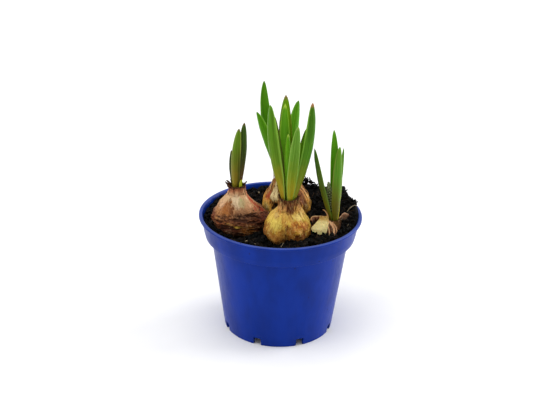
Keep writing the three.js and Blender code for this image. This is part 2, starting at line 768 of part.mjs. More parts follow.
function soilBody() {
  const edge = circle(1, 0, SOIL.sides).map((p) => {
    const inside = insideRadius(POT.height) - SOIL.wallGap;
    const z = min(soilTop(p.x * inside, p.y * inside), POT.height + SOIL.aboveRim);
    const r = insideRadius(z) - SOIL.wallGap;
    return new THREE.Vector3(p.x * r, p.y * r, z - SOIL.edgeDrop);
  });
  const ringAt = (r) => circle(r, 0, SOIL.sides).map((p) => p.setZ(soilTop(p.x, p.y)));
  const wallAt = (z) => circle(insideRadius(z) - SOIL.wallGap, z, SOIL.sides);
  const bottom = POT.floorTop + GAP;
  // Over the step in the wall the compost keeps its gap upward.
  const overLedge = [POT.bodyTopZ, POT.collarFootZ].map((height) => {
    const z = height + POT.ledgeRise;
    return circle(insideRadius(z) - SOIL.wallGap, z + GAP, SOIL.sides);
  });
  return skin(
    [wallAt(bottom), ...overLedge, wallAt(POT.creaseZ), edge, ...SOIL.topRings.map(ringAt)],
    new THREE.Vector3(0, 0, bottom),
    new THREE.Vector3(0, 0, soilTop(0, 0)),
  );
}

// True where a crumb of compost would lie against a bulb.
const nearBulb = (x, y, margin) =>
  Object.values(BULBS).some(({ centre, outline }) => {
    const widest = max(...outline.map(([r]) => r));
    return hypot(x - centre[0], y - centre[1]) < widest + margin;
  });

function crumb(roll, x, y, z, size) {
  const lump = new THREE.IcosahedronGeometry(size, 0);
  lump.scale(0.8 + 0.5 * roll(), 0.8 + 0.4 * roll(), 0.7 + 0.4 * roll());
  return solidOf(lump.rotateZ(PI * roll()).rotateX(PI * roll()).translate(x, y, z));
}

function crumbs() {
  const roll = dice(SOIL.crumbSeed);
  const made = CLODS.map(([x, y, above, size]) => crumb(roll, x, y, soilTop(x, y) + above, size));
  while (made.length < SOIL.crumbs + CLODS.length) {
    const reach = (insideRadius(POT.height) - 3) * sqrt(roll());
    const turn = 2 * PI * roll();
    const [x, y] = [reach * cos(turn), reach * sin(turn)];
    const size = lerp(...SOIL.crumbRadius, roll() ** 2);
    const clearOfWall = reach + 1.4 * size < SOIL.crumbReach;
    if (!clearOfWall || nearBulb(x, y, size + GAP)) continue;
    made.push(crumb(roll, x, y, soilTop(x, y) + SOIL.crumbLift * size, size));
  }
  return made;
}

function soil() {
  const ground = crumbs().reduce((body, lump) => body.add(lump), solidOf(soilBody()));
  const rooms = Object.values(BULBS).map((bulb) => solidOf(bulbRoom(bulb, SOIL.bulbGap)));
  return wholeOf(rooms.reduce((body, room) => body.subtract(room), ground));
}

// ---------------------------------------------------------------- assembly

const plant = new THREE.Group();

function add(name, geometry, colour, roughness) {
  const material = new THREE.MeshStandardMaterial({ color: colour, roughness, metalness: 0 });
  const mesh = new THREE.Mesh(geometry, material);
  mesh.name = name;
  plant.add(mesh);
}

add("pot", geometryOf(pot()), 0x1c2f9e, 0.38);
add("compost", geometryOf(soil()), 0x15120f, 0.95);
for (const [name, bulb] of Object.entries(BULBS)) {
  add(`bulb_${name}`, bulbGeometry(bulb), bulb.colour, 0.6);
}
for (const [name, leaves] of Object.entries(LEAVES)) {
  for (const [place, leaf] of Object.entries(leaves)) {
    add(`leaf_${name}_${place}`, leafGeometry(BULBS[name], leaf), 0x4f8a1c, 0.45);
  }
}
add("flower_bud", geometryOf(bud(BULBS.right)), 0x5d6b4a, 0.6);
for (const [name, scrap] of Object.entries(SCRAPS)) {
  add(`skin_${name}`, scrapGeometry(BULBS.right, scrap), scrap.colour, 0.7);
}
for (const [name, flake] of Object.entries(FLAKES)) {
  const rows = flake.rows.map((row) => row.map((point) => new THREE.Vector3(...point)));
  add(`skin_${name}`, sheet(rows, SCRAP.thickness), flake.colour, 0.7);
}

export default plant;
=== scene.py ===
"""The looks of a pot of sprouting grape hyacinth bulbs, built round its solids.

Sizes and places are in millimetres, in the solids' own frame with +Z up, and the meshes are written in
metres. An azimuth is measured from the front of the pot, which is -Y, and grows towards +X.
"""

from math import cos, pi, radians, sin

import bmesh
import bpy
import numpy as np
from bpy.props import FloatProperty, FloatVectorProperty, IntProperty, PointerProperty
from mathutils import Matrix, Vector, noise


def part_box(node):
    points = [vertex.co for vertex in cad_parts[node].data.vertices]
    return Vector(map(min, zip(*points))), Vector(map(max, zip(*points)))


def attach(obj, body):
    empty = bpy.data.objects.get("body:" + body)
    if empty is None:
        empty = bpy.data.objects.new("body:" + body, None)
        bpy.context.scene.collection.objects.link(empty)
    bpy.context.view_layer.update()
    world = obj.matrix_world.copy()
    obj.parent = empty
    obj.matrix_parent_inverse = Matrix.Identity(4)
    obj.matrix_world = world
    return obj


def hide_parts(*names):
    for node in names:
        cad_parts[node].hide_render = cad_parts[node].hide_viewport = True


bl_info = {
    "name": "Potted Grape Hyacinth",
    "version": (1, 0, 0),
    "blender": (4, 5, 0),
    "location": "3D View > Sidebar > Hyacinth",
    "description": "Builds a pot of sprouting grape hyacinth bulbs, piece by piece",
    "category": "Object",
}

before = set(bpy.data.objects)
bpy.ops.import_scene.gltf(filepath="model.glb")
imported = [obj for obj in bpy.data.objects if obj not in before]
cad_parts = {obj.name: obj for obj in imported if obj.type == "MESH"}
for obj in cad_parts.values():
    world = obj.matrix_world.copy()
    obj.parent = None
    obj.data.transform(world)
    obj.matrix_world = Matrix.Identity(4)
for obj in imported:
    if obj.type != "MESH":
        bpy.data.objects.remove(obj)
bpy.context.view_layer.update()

MM = 0.001
GAP = 0.3  # air between two solids that lie against each other
UP = np.array([0.0, 0.0, 1.0])


# ---------------- sizes of the pot and the compost

POT_HEIGHT = round(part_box("pot")[1].z / MM, 1)
RIM_RADIUS = round(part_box("pot")[1].x / MM, 1)
LIP_Z = POT_HEIGHT - 1.4
WALL = 1.0
LIP_WALL = 0.4
LEDGE_RISE = 1.2  # how far the step inside the wall lies above the step outside it
FOOT_RADIUS = 30.6
FOOT_RING = 1.5
FLOOR_Z = (3.0, 4.2)  # underside and top of the pot's floor
# The wall's outside from the body up, as [radius, height].
BODY_TOP = (38.0, 53.4)
COLLAR_FOOT = (41.4, 55.1)
CREASE = (42.2, 58.2)
COLLAR_TOP_RADIUS = 43.6
# Its inside, as heights and radii.
INSIDE_Z = (FLOOR_Z[1], BODY_TOP[1] + LEDGE_RISE, COLLAR_FOOT[1] + LEDGE_RISE, CREASE[1], LIP_Z, POT_HEIGHT)
INSIDE_RADIUS = (
    FOOT_RADIUS - WALL,
    BODY_TOP[0] - WALL,
    COLLAR_FOOT[0] - WALL,
    CREASE[0] - WALL,
    COLLAR_TOP_RADIUS - WALL,
    COLLAR_TOP_RADIUS - LIP_WALL,
)
MOUTH_RADIUS = INSIDE_RADIUS[-1]
SLOTS = {"count": 8, "first": 23, "width": 4.4, "height": 4.5, "inner": 25.5, "outer": 33}

SOIL_LEVEL = 62.9
SOIL_DISH = 2.5
SOIL_WALL_GAP = 0.45
SOIL_EDGE_DROP = 0.3
SOIL_TOP_Z = POT_HEIGHT + 3.4  # the highest that the compost's edge stands at the wall
SOIL_MIDDLE = 0.4  # radius of its innermost ring
# The compost's heaps, and its hollows where the rise is negative: [x, y, rise, reach along x, along y].
HEAPS = [
    [35.6, 18.6, 8.9, 7.4, 9.6],
    [15, 37, 3.8, 10, 7],
    [27, 32, 3.4, 8, 7],
    [40.6, 2.4, 5, 5, 9],
    [31, -27, 1.4, 9, 9],
    [-3.6, -31, -6.4, 6.4, 5],
    [-29, 26, 1.6, 12, 12],
    [-26, -21, -3.8, 11, 8],
]
# Big clods on the heap: [x, y, height above the compost, size].
CLODS = [
    [11.6, 37, 1.5, 1.7],
    [14.8, 36.8, 2.8, 1.6],
    [17.2, 36.3, 2, 1.3],
    [20, 34.6, 0, 1.6],
    [35.2, 19.6, -2, 2],
    [38.6, 11, -1.2, 1.6],
    [40.2, 6.4, 2, 2.1],
    [40.8, 3, 1.3, 1.6],
    [29, 28, -0.4, 2.1],
]
CLOD_LUMPS = 26
CLOD_SPIKES = 9
CRUMB_SHAPES = 12
CRUMB_SIZES = (0.3, 1.5)
COARSE_CRUMB = 0.85  # crumbs above this size show their shape, and get a finer mesh
FIBRE_STEPS = 9


# ---------------- sizes of the plants

NECK_SHARE = 0.42  # of the widest radius: narrower than this is neck, smooth and round
BODY_SHARE = 0.8  # of the widest radius: wider than this has the full ribs and groove
SOCKET_DEPTH = 5.0

# outline runs from the base plate to the neck as [radius, height], and depth is how deep the bulb is from
# front to back as a share of its width. press lists the flats where a bulb grew against its neighbour:
# [azimuth, distance from its axis]. The axis moves over from centre to neck between the heights of bend.
# ribs are [how many, height], lumps is the height of soft lumps, and socket is the radius of the hollow that
# holds the leaves. groove is the fold between two lobes, full below low and shallower above high. tunics are
# the torn lower edges of its papery coats: [height, wave, step, raggedness]. dents are [azimuth, height,
# reach, depth]. wrinkles are [from height, to height, depth, how much higher they reach on the right, their
# length round the bulb, their height]. crinkles are fine crumpling: [height, reach up and down, depth].
# creases are long folds that cut in: [places as [azimuth, height], width, depth]. flaps of torn skin are
# [azimuth, foot, tip, half width in degrees, how far it stands off, shade from dark -1 to pale 1]. frays are
# the torn shreds on the neck: [azimuth, height, lean, half width in degrees].
BULBS = {
    "left": {
        "centre": (-21.4, -2.6), "neck": (-24.2, -4), "bend": (64.8, 77),
        "outline": [
            [5, 53.5], [10.5, 55], [14.6, 58.6], [16.6, 62], [16.9, 64.8], [16.3, 66.8], [14.6, 69.4],
            [12.5, 71.4], [9.5, 75.2], [6.4, 79], [4.6, 82], [4.4, 85.4],
        ],
        "depth": 0.94, "press": [(63, 15.3), (123, 15.2)], "ribs": (9, 0.22), "socket": 3.9,
        "tunics": [(70.6, 1.6, 0.5, 2.2), (66.6, 1.3, 0.4, 1.6)],
        "dents": [
            (-29, 75.3, 3, 0.5), (14, 66.2, 3.4, -0.8), (-6, 71.2, 2.4, 0.5), (40, 71, 3, 0.6),
            (-90, 82.6, 3.6, 0.6),
        ],
        "wrinkles": (61, 71, 1.4, 2, 11, 1.7), "crinkles": (73, 3.6, 0.3), "lumps": 0.45,
        "creases": [
            ([(-24, 69.2), (-15, 69.2), (-4, 70.4), (11, 71), (31, 71), (48, 70.3), (57, 68.3)], 0.8, 0.9),
            ([(-24, 65), (-15, 66.3), (-5, 67.7), (4, 68.6), (17, 69.2), (32, 68.3), (44, 66.4)], 0.6, 0.7),
            ([(-75, 65.4), (-53, 66.7), (-36, 68.4), (-23, 69.2)], 0.4, 0.5),
            ([(-83, 66), (-58, 69.1), (-40, 70.1), (-21, 71.3)], 0.35, 0.4),
            ([(-26, 71.4), (-9, 73.8), (-8, 76.6), (-26, 77.6), (-46, 76.3), (-59, 74)], 0.3, 0.3),
            ([(-62, 64), (-40, 65), (-22, 64.3)], 0.5, 0.5),
            ([(3, 73.2), (19, 72.7), (40, 71.9)], 0.25, 0.2),
        ],
        "flaps": [
            (-31, 71.6, 79, 19, 0.3, 0), (-30, 80, 85.2, 26, 0.35, -0.3), (32, 80.6, 85.4, 24, 0.35, -0.4),
            (86, 79.6, 85.2, 20, 0.35, -0.2), (-82, 80, 85.4, 22, 0.35, -0.2),
            (150, 79, 85.4, 34, 0.35, 0),
        ],
        "frays": [
            (-98, 2.9, 1.5, 20), (-62, 1.4, 0.9, 26), (-20, 0.8, 0.2, 30), (35, 1.2, 0.1, 26),
            (80, 4.6, 1.1, 12), (112, 1.2, 0.6, 24), (165, 1.4, 0.5, 30), (-142, 1.9, 0.8, 24),
        ],
        "slot": "bulb_brown",
    },
    "centre": {
        "centre": (3.8, -15.9), "neck": (3.9, -16.6), "bend": (66, 84),
        "outline": [
            [4, 53], [8, 55.5], [11, 59], [12.5, 62.4], [12.9, 65.4], [12.5, 68.4], [11, 72], [8.2, 75.8],
            [6.1, 79], [5.3, 82], [5.1, 84.2],
        ],
        "depth": 0.97, "press": [(-116, 12.1), (176, 12.4)], "ribs": (12, 0.16), "socket": 4.75,
        "groove": {"azimuth": -2, "depth": 0.2, "width": 16, "apron": 45, "low": 62, "high": 78},
        "tunics": [],
        "dents": [
            (45, 66.2, 2.4, 0.3), (20, 73, 2.2, -0.3), (-2, 72, 2.5, -0.6), (-4, 67, 2, -0.5),
            (-92, 78.4, 5, 1.3), (74, 79, 3.4, 0.5), (18, 79.6, 2.4, 0.7), (-32, 62.6, 4, -0.9),
        ],
        "wrinkles": (77.5, 84, 0.6, 0, 2.6, 6), "crinkles": (68, 4, 0.1), "lumps": 0.45,
        "creases": [
            ([(64, 73), (73, 70.6), (66, 68.6), (56, 67.6), (44, 68.1)], 0.28, 0.35),
            ([(8, 77.4), (17, 75.6), (29, 72.9), (27, 71.2), (21, 70.2)], 0.32, 0.35),
            ([(38, 75), (55, 72.8), (51, 71.4), (40, 70.4)], 0.28, 0.3),
            ([(-9, 83), (0, 80.4), (10, 78.4), (21, 77)], 0.5, 0.5),
            ([(44, 83), (36, 80), (26, 77.8)], 0.4, 0.45),
            ([(12, 68), (24, 66), (40, 65)], 0.4, 0.3),
        ],
        "flaps": [
            (76, 73.4, 83.6, 27, 0.7, 0.35), (54, 76.5, 82.4, 17, 0.7, 0.15),
            (-16, 77.4, 82.6, 15, 0.8, 0.15), (-42, 77.4, 83.6, 17, 1, 0.3),
            (-66, 76.4, 83.4, 18, 0.5, 0.1), (-30, 79.4, 84.6, 14, 0.4, -0.25),
            (-88, 77.5, 84.6, 20, 0.3, 0.2), (122, 77, 85, 30, 0.4, 0.2), (170, 77.5, 85.4, 30, 0.4, -0.3),
            (-128, 77, 85.2, 30, 0.4, 0.3),
        ],
        "frays": [
            (-40, 1.3, 0.1, 30), (12, 0.7, 0.2, 26), (58, 1.2, 0.1, 24), (105, 1.6, 0.5, 26),
            (170, 1.4, 0.3, 30), (-120, 1.8, 0.6, 28),
        ],
        "slot": "bulb_golden",
    },
    "rear": {
        "centre": (3.3, 13.4), "neck": (1.5, 11), "bend": (76, 84),
        "outline": [
            [4, 54], [8.8, 56.5], [12, 60.5], [13.5, 64], [13.8, 67], [13.2, 70], [11.4, 73.6], [9.2, 77],
            [7, 80.2], [5.5, 83], [5.2, 85.4],
        ],
        "depth": 0.96, "press": [(-57, 13.2), (0, 12.6)], "ribs": (10, 0.18), "socket": 4.4,
        "tunics": [],
        "dents": [(-32, 69.8, 3, 2.4), (40, 74, 3, 0.5), (20, 78, 2, 0.4)],
        "wrinkles": (70, 83, 0.6, 0, 3, 6), "crinkles": (72, 5, 0.15), "lumps": 0.5,
        "creases": [
            ([(-48, 67), (-44, 70.6), (-47, 74), (-54, 77)], 0.35, 0.4),
            ([(-66, 69.6), (-74, 72), (-78, 75)], 0.3, 0.3),
            ([(44, 66), (52, 72), (50, 78)], 0.5, 0.5),
        ],
        "flaps": [
            (-42, 72, 83.4, 14, 0.6, 0.95), (-84, 75.5, 86.2, 12, 0.6, 0.4), (-64, 71, 78, 15, 0.3, -0.35),
            (76, 68, 83, 10, 0.4, 0.2), (46, 69, 82, 17, 0.35, -0.6), (22, 71, 84, 15, 0.45, -0.3),
            (125, 69, 84, 28, 0.4, 0.2), (178, 68, 84.4, 26, 0.4, -0.2), (-128, 68, 84, 28, 0.4, 0.2),
        ],
        "frays": [
            (-92, 1.9, 0.2, 26), (-40, 1.2, 0.3, 28), (20, 1.2, 0.3, 26), (75, 1.9, 0.7, 24),
            (140, 1.5, 0.4, 30), (-150, 2.1, 0.8, 24),
        ],
        "slot": "bulb_tan",
    },
    "right": {
        "centre": (24.9, -14.2), "neck": (28.7, -14.3), "bend": (63.4, 71),
        "outline": [
            [2.2, 57], [4.4, 58.4], [5.6, 61], [6, 63.4], [5.8, 65.4], [5.1, 67.2], [4.2, 68.8],
            [3.5, 70], [3.2, 71],
        ],
        "depth": 1, "press": [], "ribs": (8, 0.12), "socket": 2.6,
        "tunics": [(67.6, 0.8, 0.25, 0.8)],
        "dents": [], "creases": [],
        "wrinkles": (63, 70, 0.35, 0, 3, 3), "crinkles": (66, 3, 0.1), "lumps": 0.2,
        "flaps": [(40, 63.5, 71.4, 22, 0.4, -0.4), (90, 63, 70.6, 26, 0.4, -0.3), (160, 62, 71, 34, 0.4, 0)],
        "frays": [
            (-88, 2.2, 1.4, 20), (-30, 0.9, 0.3, 30), (30, 0.7, 0.1, 26), (85, 0.8, 0.1, 26),
            (150, 1.2, 0.3, 30), (-150, 1.1, 0.3, 26),
        ],
        "slot": "bulb_pale",
    },
}

# One strap leaf per row: where it is rooted in the neck, as [azimuth, distance from the axis], its tip from
# the middle of the neck's mouth, how far its middle bows sideways, its widest blade, its width in the
# neck, the azimuths that its rounded outside faces at the neck and at the tip, and its colouring.
LEAVES = {
    "left": {
        "front": ((-20, 2.1), (1.2, -2.8, 33.8), (-1.1, -0.5), 4.6, 2.8, (-20, -10), "olive"),
        "right": ((92, 2.1), (3.9, 0, 36.2), (0.9, 0.4), 5.1, 2.7, (92, 36), "purple"),
        "back": ((-108, 2.2), (-3, 1.2, 19.8), (-1.2, 0.2), 3.2, 2.3, (-108, -70), "dusky"),
        "sheath": ((39, 2.8), (2.9, -3.2, 4.8), (0, 0), 1.5, 1.1, (37, 36), "sallow"),
    },
    "centre": {
        "left": ((-60, 2.9), (-10.6, -3.4, 53.3), (-2, -0.3), 6.1, 2.5, (-60, -24), "fresh"),
        "leftInner": ((-88, 1.45), (-8.7, 0.5, 46.2), (-1.2, 0.6), 5, 1.4, (-88, -44), "edged"),
        "back": ((178, 2.9), (-2.6, 8.4, 54.9), (-1.4, 0.6), 7.1, 3.4, (178, 192), "bright"),
        "middle": ((178, 1.5), (-2.9, 2.6, 52), (-1, 0.2), 5.2, 1.6, (178, 180), "rimmed"),
        "small": ((2, 1.5), (-1, -1.4, 36.8), (-0.5, -0.3), 3.2, 1.8, (2, -4), "rimmed"),
        "front": ((14, 2.95), (4.1, -7.3, 43.2), (-0.2, -1.2), 5.1, 2.1, (14, 6), "waxy"),
        "right": ((70, 2.9), (11.3, 0.6, 53.6), (3.6, -0.3), 6.5, 2.5, (70, 36), "blushed"),
        "rightInner": ((92, 1.5), (8.5, 3.8, 38), (0.3, 0.4), 4, 1.4, (92, 52), "edged"),
    },
    "rear": {
        "tall": ((-146, 2.2), (-11.9, 1.4, 54.4), (-3, 0.5), 5.5, 2.8, (-140, -172), "deep"),
        "left": ((-40, 2.2), (-15.6, -4.8, 38.8), (-0.2, -0.6), 5.8, 2.8, (-46, -30), "deep"),
        "right": ((66, 2.6), (7, 3.4, 42.8), (-0.7, 0.4), 6, 3.2, (66, 14), "deep"),
    },
    "right": {
        "left": ((-62, 0.9), (-11.8, -1.2, 41.2), (-1.6, -0.9), 3.7, 1.6, (-62, -44), "shaded"),
        "back": ((174, 1.5), (-1.6, 5.6, 49.4), (0.4, 1.6), 4.4, 1.5, (176, 186), "lit"),
        "front": ((30, 1.85), (1.5, -2.8, 43.2), (-0.2, -1.4), 4.7, 1.8, (30, 14), "glossy"),
        "thin": ((94, 1.9), (3.8, 2.2, 40.4), (0.3, 0.1), 2.9, 1.1, (100, 60), "fresh"),
    },
}
LEAF_THICKNESS = (0.66, 1.15, 0.75)  # at the foot, the middle and the tip
LEAF_CHANNEL = (0.3, 0.44, 0.62)  # depth of the channel as a share of the half width
LEAF_TIP_SHARE = 0.34
LEAF_TIP_FULLNESS = 0.58
BOW_PULL = 1.9  # how much further the curve's handle goes than the bow

BUD = {"root": (0.1, 0), "lean": (-3.7, 0.6), "stem": 0.55, "foot": 4.6, "top": 21.8, "radius": 1.9}
FLORET_TURN = 137.5  # degrees from one floret to the next

NECK_RINGS = 4  # from the torn rim down to the bottom of the socket
CREASE_STEPS = 26
FLAP_GRID = (24, 18)
FLAP_THICKNESS = 0.22
SHRED_THICKNESS = 0.2
SHREDS_PER_FRAY = 4
RIBBON_STEPS = 26
SKIN_THICKNESS = 0.3
# Dry skins that have come away from the small bulb, as rows of points: the flake from its top down, the
# rim along its arch from the outer lip down into the hollow, and the scale from the neck outward.
FLAKES = {
    "front": [
        [[21.4, -15.6, 73.4], [23.4, -16.6, 73.6], [25.4, -16, 74]],
        [[20.2, -16.8, 71.2], [23.3, -18.2, 71.4], [26, -17.4, 71.2]],
        [[17.9, -18.3, 69], [21.8, -20, 69.2], [25.6, -19.2, 69]],
        [[16.4, -19.3, 67.3], [20.6, -21.3, 66.9], [25, -20.6, 66.5]],
        [[16.9, -20, 65.9], [20.4, -21.6, 64.7], [24, -21.2, 63.7]],
    ],
    "rim": [
        [[16, -12.9, 69.2], [16.2, -13.4, 69.9], [16.9, -14.2, 69.2], [17.2, -13.6, 67.6], [17.4, -13.4, 66]],
        [[17, -11, 70], [17, -11.5, 70.7], [17.7, -12.5, 70], [18.2, -12.2, 68.2], [18.4, -12, 66.2]],
        [[19.3, -10.2, 70.3], [19.2, -10.8, 71], [19.6, -11.9, 70.3], [20, -11.6, 68.2], [20.2, -11.4, 66.2]],
        [[22.5, -10.2, 70.3], [22.5, -10.8, 71], [22.6, -11.9, 70.3], [22.8, -11.6, 68.4], [23, -11.4, 66.6]],
        [[25.2, -10.8, 69.8], [25.2, -11.3, 70.3], [25.1, -12.2, 69.6], [25.2, -12, 68.4], [25.4, -11.8, 67]],
    ],
    "scale": [
        [[30.4, -11.3, 67.4], [30.5, -11.1, 67.8], [30.6, -11, 68.1]],
        [[31.4, -10.3, 67.8], [31.5, -9.9, 68.3], [31.6, -9.6, 68.8]],
        [[32.6, -9.5, 68], [32.8, -8.6, 69.2], [33, -7.9, 70.4]],
        [[34.3, -9, 68.2], [34.6, -7.9, 69.8], [34.5, -7, 71.4]],
        [[35.9, -8.3, 68.8], [36.2, -7.4, 70], [35.9, -6.8, 71.4]],
        [[37, -7.3, 69.9], [37.2, -7.1, 70.2], [37, -6.9, 70.7]],
    ],
}
# The torn brown skin under them, from its top down.
STRIP_ROWS = [
    [[25.6, -17.2, 71], [28, -17.6, 70.8], [30, -16.8, 70.4]],
    [[25.4, -19, 68], [28, -19, 68], [30.4, -17.6, 67.6]],
    [[25, -20.2, 65.4], [27.6, -20, 65.2], [29.8, -18.6, 64.6]],
    [[24.6, -20.6, 63.2], [27, -20.6, 63], [29, -19.2, 63]],
]
# Curled ribbons of skin down its right side: their middle line and width.
RIBBONS = [
    ([[26, -18.3, 71.6], [28.2, -20, 69], [28.7, -21.6, 66.4], [28.4, -23.4, 64.7], [27.9, -26, 64.4]], 1),
    ([[28.4, -18, 70.2], [29.8, -19.2, 68.2], [30.2, -19.8, 66], [29.6, -20, 64]], 0.5),
    ([[25.6, -19.4, 69], [26.3, -20.9, 66.4], [26, -22.6, 64.6], [25.4, -24, 64.4]], 0.5),
]


# ---------------- colours, as red, green and blue of 255

def paint(red, green, blue):
    """The colour as Blender counts it, in linear light."""
    shares = [channel / 255 for channel in (red, green, blue)]
    linear = [s / 12.92 if s < 0.04045 else ((s + 0.055) / 1.055) ** 2.4 for s in shares]
    return (*linear, 1.0)


def shaded(colour, share):
    """The colour at a share of its lightness."""
    return (*[share * channel for channel in colour[:3]], 1.0)


# Leaf colourings: colours up the blade from its seat at 0 to its tip at 1, then the tip and the margin.
LEAF_COLOURS = {
    "fresh": (
        [(0.12, (152, 114, 22)), (0.3, (148, 124, 22)), (0.44, (122, 122, 16)), (0.6, (84, 118, 12)),
         (0.85, (70, 122, 6))],
        (92, 138, 40), (132, 170, 60),
    ),
    "lit": (
        [(0.1, (124, 126, 16)), (0.4, (108, 154, 14)), (0.6, (82, 142, 4)), (0.85, (80, 148, 4))],
        (100, 150, 40), (136, 176, 60),
    ),
    "bright": (
        [(0.1, (130, 128, 16)), (0.4, (110, 146, 10)), (0.7, (106, 156, 8)), (0.9, (112, 160, 12))],
        (136, 106, 66), (112, 106, 36),
    ),
    "waxy": (
        [(0.12, (152, 130, 14)), (0.28, (148, 132, 14)), (0.5, (112, 126, 10)), (0.68, (82, 122, 20)),
         (0.9, (84, 130, 34))],
        (120, 150, 62), (134, 168, 72),
    ),
    "glossy": (
        [(0.2, (64, 54, 0)), (0.3, (68, 62, 0)), (0.4, (86, 86, 12)), (0.54, (88, 112, 24)),
         (0.76, (74, 126, 22)), (0.95, (82, 128, 20))],
        (96, 140, 46), (118, 130, 50),
    ),
    "deep": (
        [(0.12, (122, 120, 18)), (0.3, (96, 116, 10)), (0.54, (76, 134, 6)), (0.85, (78, 140, 6))],
        (84, 128, 34), (118, 166, 52),
    ),
    "edged": (
        [(0.12, (96, 84, 16)), (0.4, (92, 116, 12)), (0.7, (92, 150, 8)), (0.9, (96, 150, 10))],
        (120, 150, 40), (84, 68, 24),
    ),
    "rimmed": (
        [(0.12, (122, 120, 18)), (0.3, (108, 130, 12)), (0.54, (96, 154, 12)), (0.85, (86, 150, 8))],
        (168, 196, 70), (150, 186, 60),
    ),
    "blushed": (
        [(0.12, (130, 114, 22)), (0.28, (124, 116, 20)), (0.42, (110, 120, 16)), (0.6, (66, 116, 8)),
         (0.8, (54, 102, 6))],
        (168, 106, 74), (120, 166, 56),
    ),
    "shaded": (
        [(0.12, (98, 78, 10)), (0.3, (98, 86, 10)), (0.5, (76, 84, 12)), (0.85, (48, 84, 10))],
        (76, 100, 36), (96, 126, 40),
    ),
    "olive": (
        [(0.12, (124, 102, 18)), (0.4, (116, 98, 16)), (0.6, (86, 98, 12)), (0.85, (80, 118, 10))],
        (96, 84, 36), (140, 142, 58),
    ),
    "purple": (
        [(0.12, (108, 96, 16)), (0.3, (68, 56, 16)), (0.54, (50, 54, 14)), (0.85, (50, 80, 14))],
        (96, 76, 36), (92, 104, 50),
    ),
    "dusky": ([(0.1, (60, 52, 12)), (0.5, (44, 52, 12)), (0.9, (42, 58, 12))], (46, 44, 16), (70, 80, 24)),
    "sallow": (
        [(0.1, (126, 98, 16)), (0.5, (140, 150, 20)), (0.9, (150, 160, 30))],
        (110, 80, 26), (170, 170, 50),
    ),
}

# A darker stripe down one half of a blade: where it starts and where it is full across the blade, how far up
# it goes, and its colour. The purple stripe is the leaf's own colour, and the olive one is painted shadow in
# the fold of the blade.
STRIPES_AND_SHADE = {
    "purple": (0.45, 0.1, 0.6, (82, 54, 34)),
    "glossy": (0.5, 0.0, 0.75, (84, 78, 8)),
    "olive": (0.4, 0.8, 0.85, (40, 46, 6)),
}
